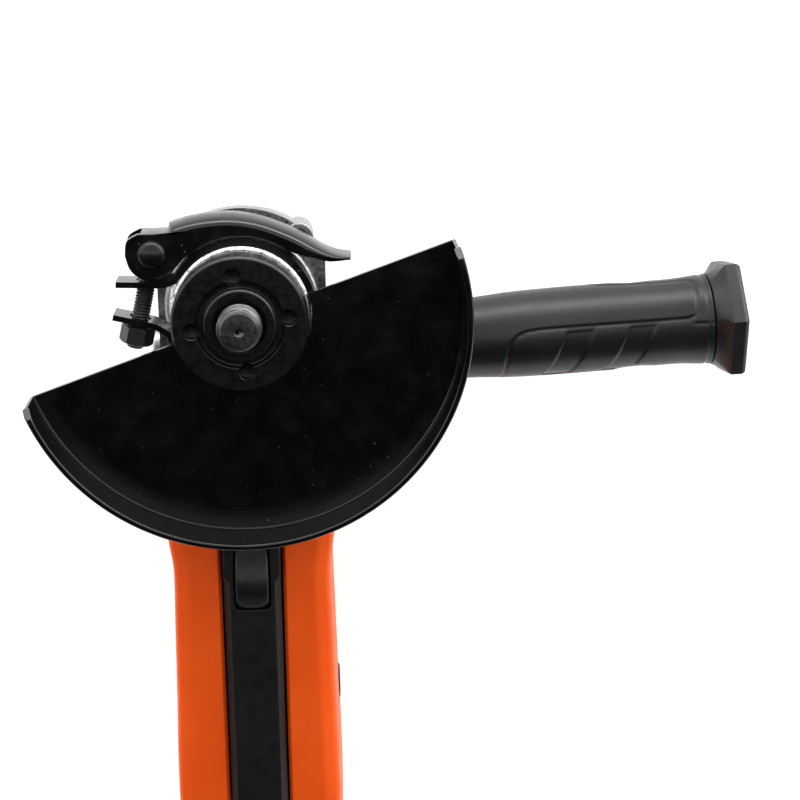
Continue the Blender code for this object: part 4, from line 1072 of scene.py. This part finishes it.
# ---------------------------------------------------------------- what the CAD keeps
def finish_inside_nodes():
    """Finishes for the inside pieces, which stay as the CAD made them."""
    looks = {"motor_shaft": STEEL, "armature_core": STEEL, "stator": STEEL, "pinion": STEEL,
             "crown_gear": STEEL, "commutator": COPPER, "cooling_fan": PLASTIC, "air_baffle": PLASTIC,
             "switch_module": PLASTIC, "bearing_plate": CAST}
    looks.update({"motor_bearing_" + end: STEEL for end in ("front", "rear")})
    looks.update({"spindle_bearing_" + end: STEEL for end in ("top", "bottom")})
    looks.update({"brush_" + side: CARBON for side in ("left", "right")})
    for name, mat in looks.items():
        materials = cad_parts[name].data.materials
        materials.clear()
        materials.append(mat)


# ---------------------------------------------------------------- stage
def make_floor():
    """Plain white floor just below the tool, lit a little from itself so that it stays even."""
    mesh = bpy.data.meshes.new("floor")
    mesh.from_pydata([(-4, -4, 0), (4, -4, 0), (4, 4, 0), (-4, 4, 0)], [], [(0, 1, 2, 3)])
    floor = bpy.data.objects.new("floor", mesh)
    scene.collection.objects.link(floor)
    floor.location.z = -0.0004
    mat = bpy.data.materials.new("pale_floor")
    mat.use_nodes = True
    shader = mat.node_tree.nodes["Principled BSDF"]
    shader.inputs["Base Color"].default_value = (0.7, 0.7, 0.7, 1)
    shader.inputs["Roughness"].default_value = 0.9
    shader.inputs["Specular IOR Level"].default_value = 0.1
    shader.inputs["Emission Color"].default_value = (1, 1, 1, 1)
    shader.inputs["Emission Strength"].default_value = 0.68
    floor.data.materials.append(mat)


def make_light():
    """A white tent: bright toward the nose and round the horizon, dimmer left, dark straight above."""
    world = bpy.data.worlds.new("tent")
    scene.world = world
    world.use_nodes = True
    nodes, links = world.node_tree.nodes, world.node_tree.links
    split = nodes.new("ShaderNodeSeparateXYZ")
    links.new(nodes.new("ShaderNodeTexCoord").outputs["Generated"], split.inputs["Vector"])

    def span(value, x0, x1, y0, y1):
        """Smooth step from y0 at x0 to y1 at x1."""
        node = nodes.new("ShaderNodeMapRange")
        node.interpolation_type = "SMOOTHSTEP"
        for socket, number in zip(("From Min", "From Max", "To Min", "To Max"), (x0, x1, y0, y1)):
            node.inputs[socket].default_value = number
        links.new(value, node.inputs["Value"])
        return node.outputs["Result"]

    def combine(operation, a, b):
        node = nodes.new("ShaderNodeMath")
        node.operation = operation
        for socket, value in zip(node.inputs, (a, b)):
            if isinstance(value, bpy.types.NodeSocket):
                links.new(value, socket)
            else:
                socket.default_value = value
        return node.outputs["Value"]

    front = combine("SUBTRACT", span(split.outputs["Y"], -0.01, 0.14, 0.0, 2.1),
                    span(split.outputs["Y"], 0.22, 0.6, 0.0, 0.95))
    low = span(split.outputs["Z"], 0.05, 0.45, 1.0, 0.0)
    left_dim = span(split.outputs["X"], -0.8, -0.1, 0.3, 1.0)
    front_low = combine("MULTIPLY", combine("MULTIPLY", low, left_dim),
                        span(split.outputs["Y"], -0.1, 0.7, 0.0, 10.0))
    horizon = combine("MULTIPLY", left_dim, span(split.outputs["Z"], 0.02, 0.34, 2.0, 0.0))
    total = combine("ADD", combine("MAXIMUM", front, horizon), combine("ADD", front_low, 0.012))
    back = nodes["Background"]
    back.inputs["Color"].default_value = (1, 1, 1, 1)
    links.new(total, back.inputs["Strength"])


def make_camera():
    """Long lens above the gear head, looking down and a little back."""
    data = bpy.data.cameras.new("camera")
    data.lens = CAMERA_LENS
    data.sensor_width = CAMERA_SENSOR
    data.shift_y = CAMERA_SHIFT_Y
    data.clip_start, data.clip_end = 0.01, 20.0
    cam = bpy.data.objects.new("camera", data)
    scene.collection.objects.link(cam)
    cam.location = CAMERA_AT
    cam.rotation_euler = [math.radians(a) for a in CAMERA_TURN]
    scene.camera = cam


make_camera()
make_floor()
make_light()
scene.view_settings.view_transform = "Standard"
gear_case()
bearing_cover()
cover_screws()
lock_button()
spindle_shaft()
backing_flange()
clamping_nut()
guard()
clamp_band()
eye_bolt()
adjusting_nut()
clamp_lever()
pivot_pin()
body_shells()
back_spine()
switch_tray()
paddle_switch()
lock_off_tongue()
rear_cover()
cord_collar()
shell_screws()
brush_caps()
grip()
end_cap()
handle_metal()
finish_inside_nodes()
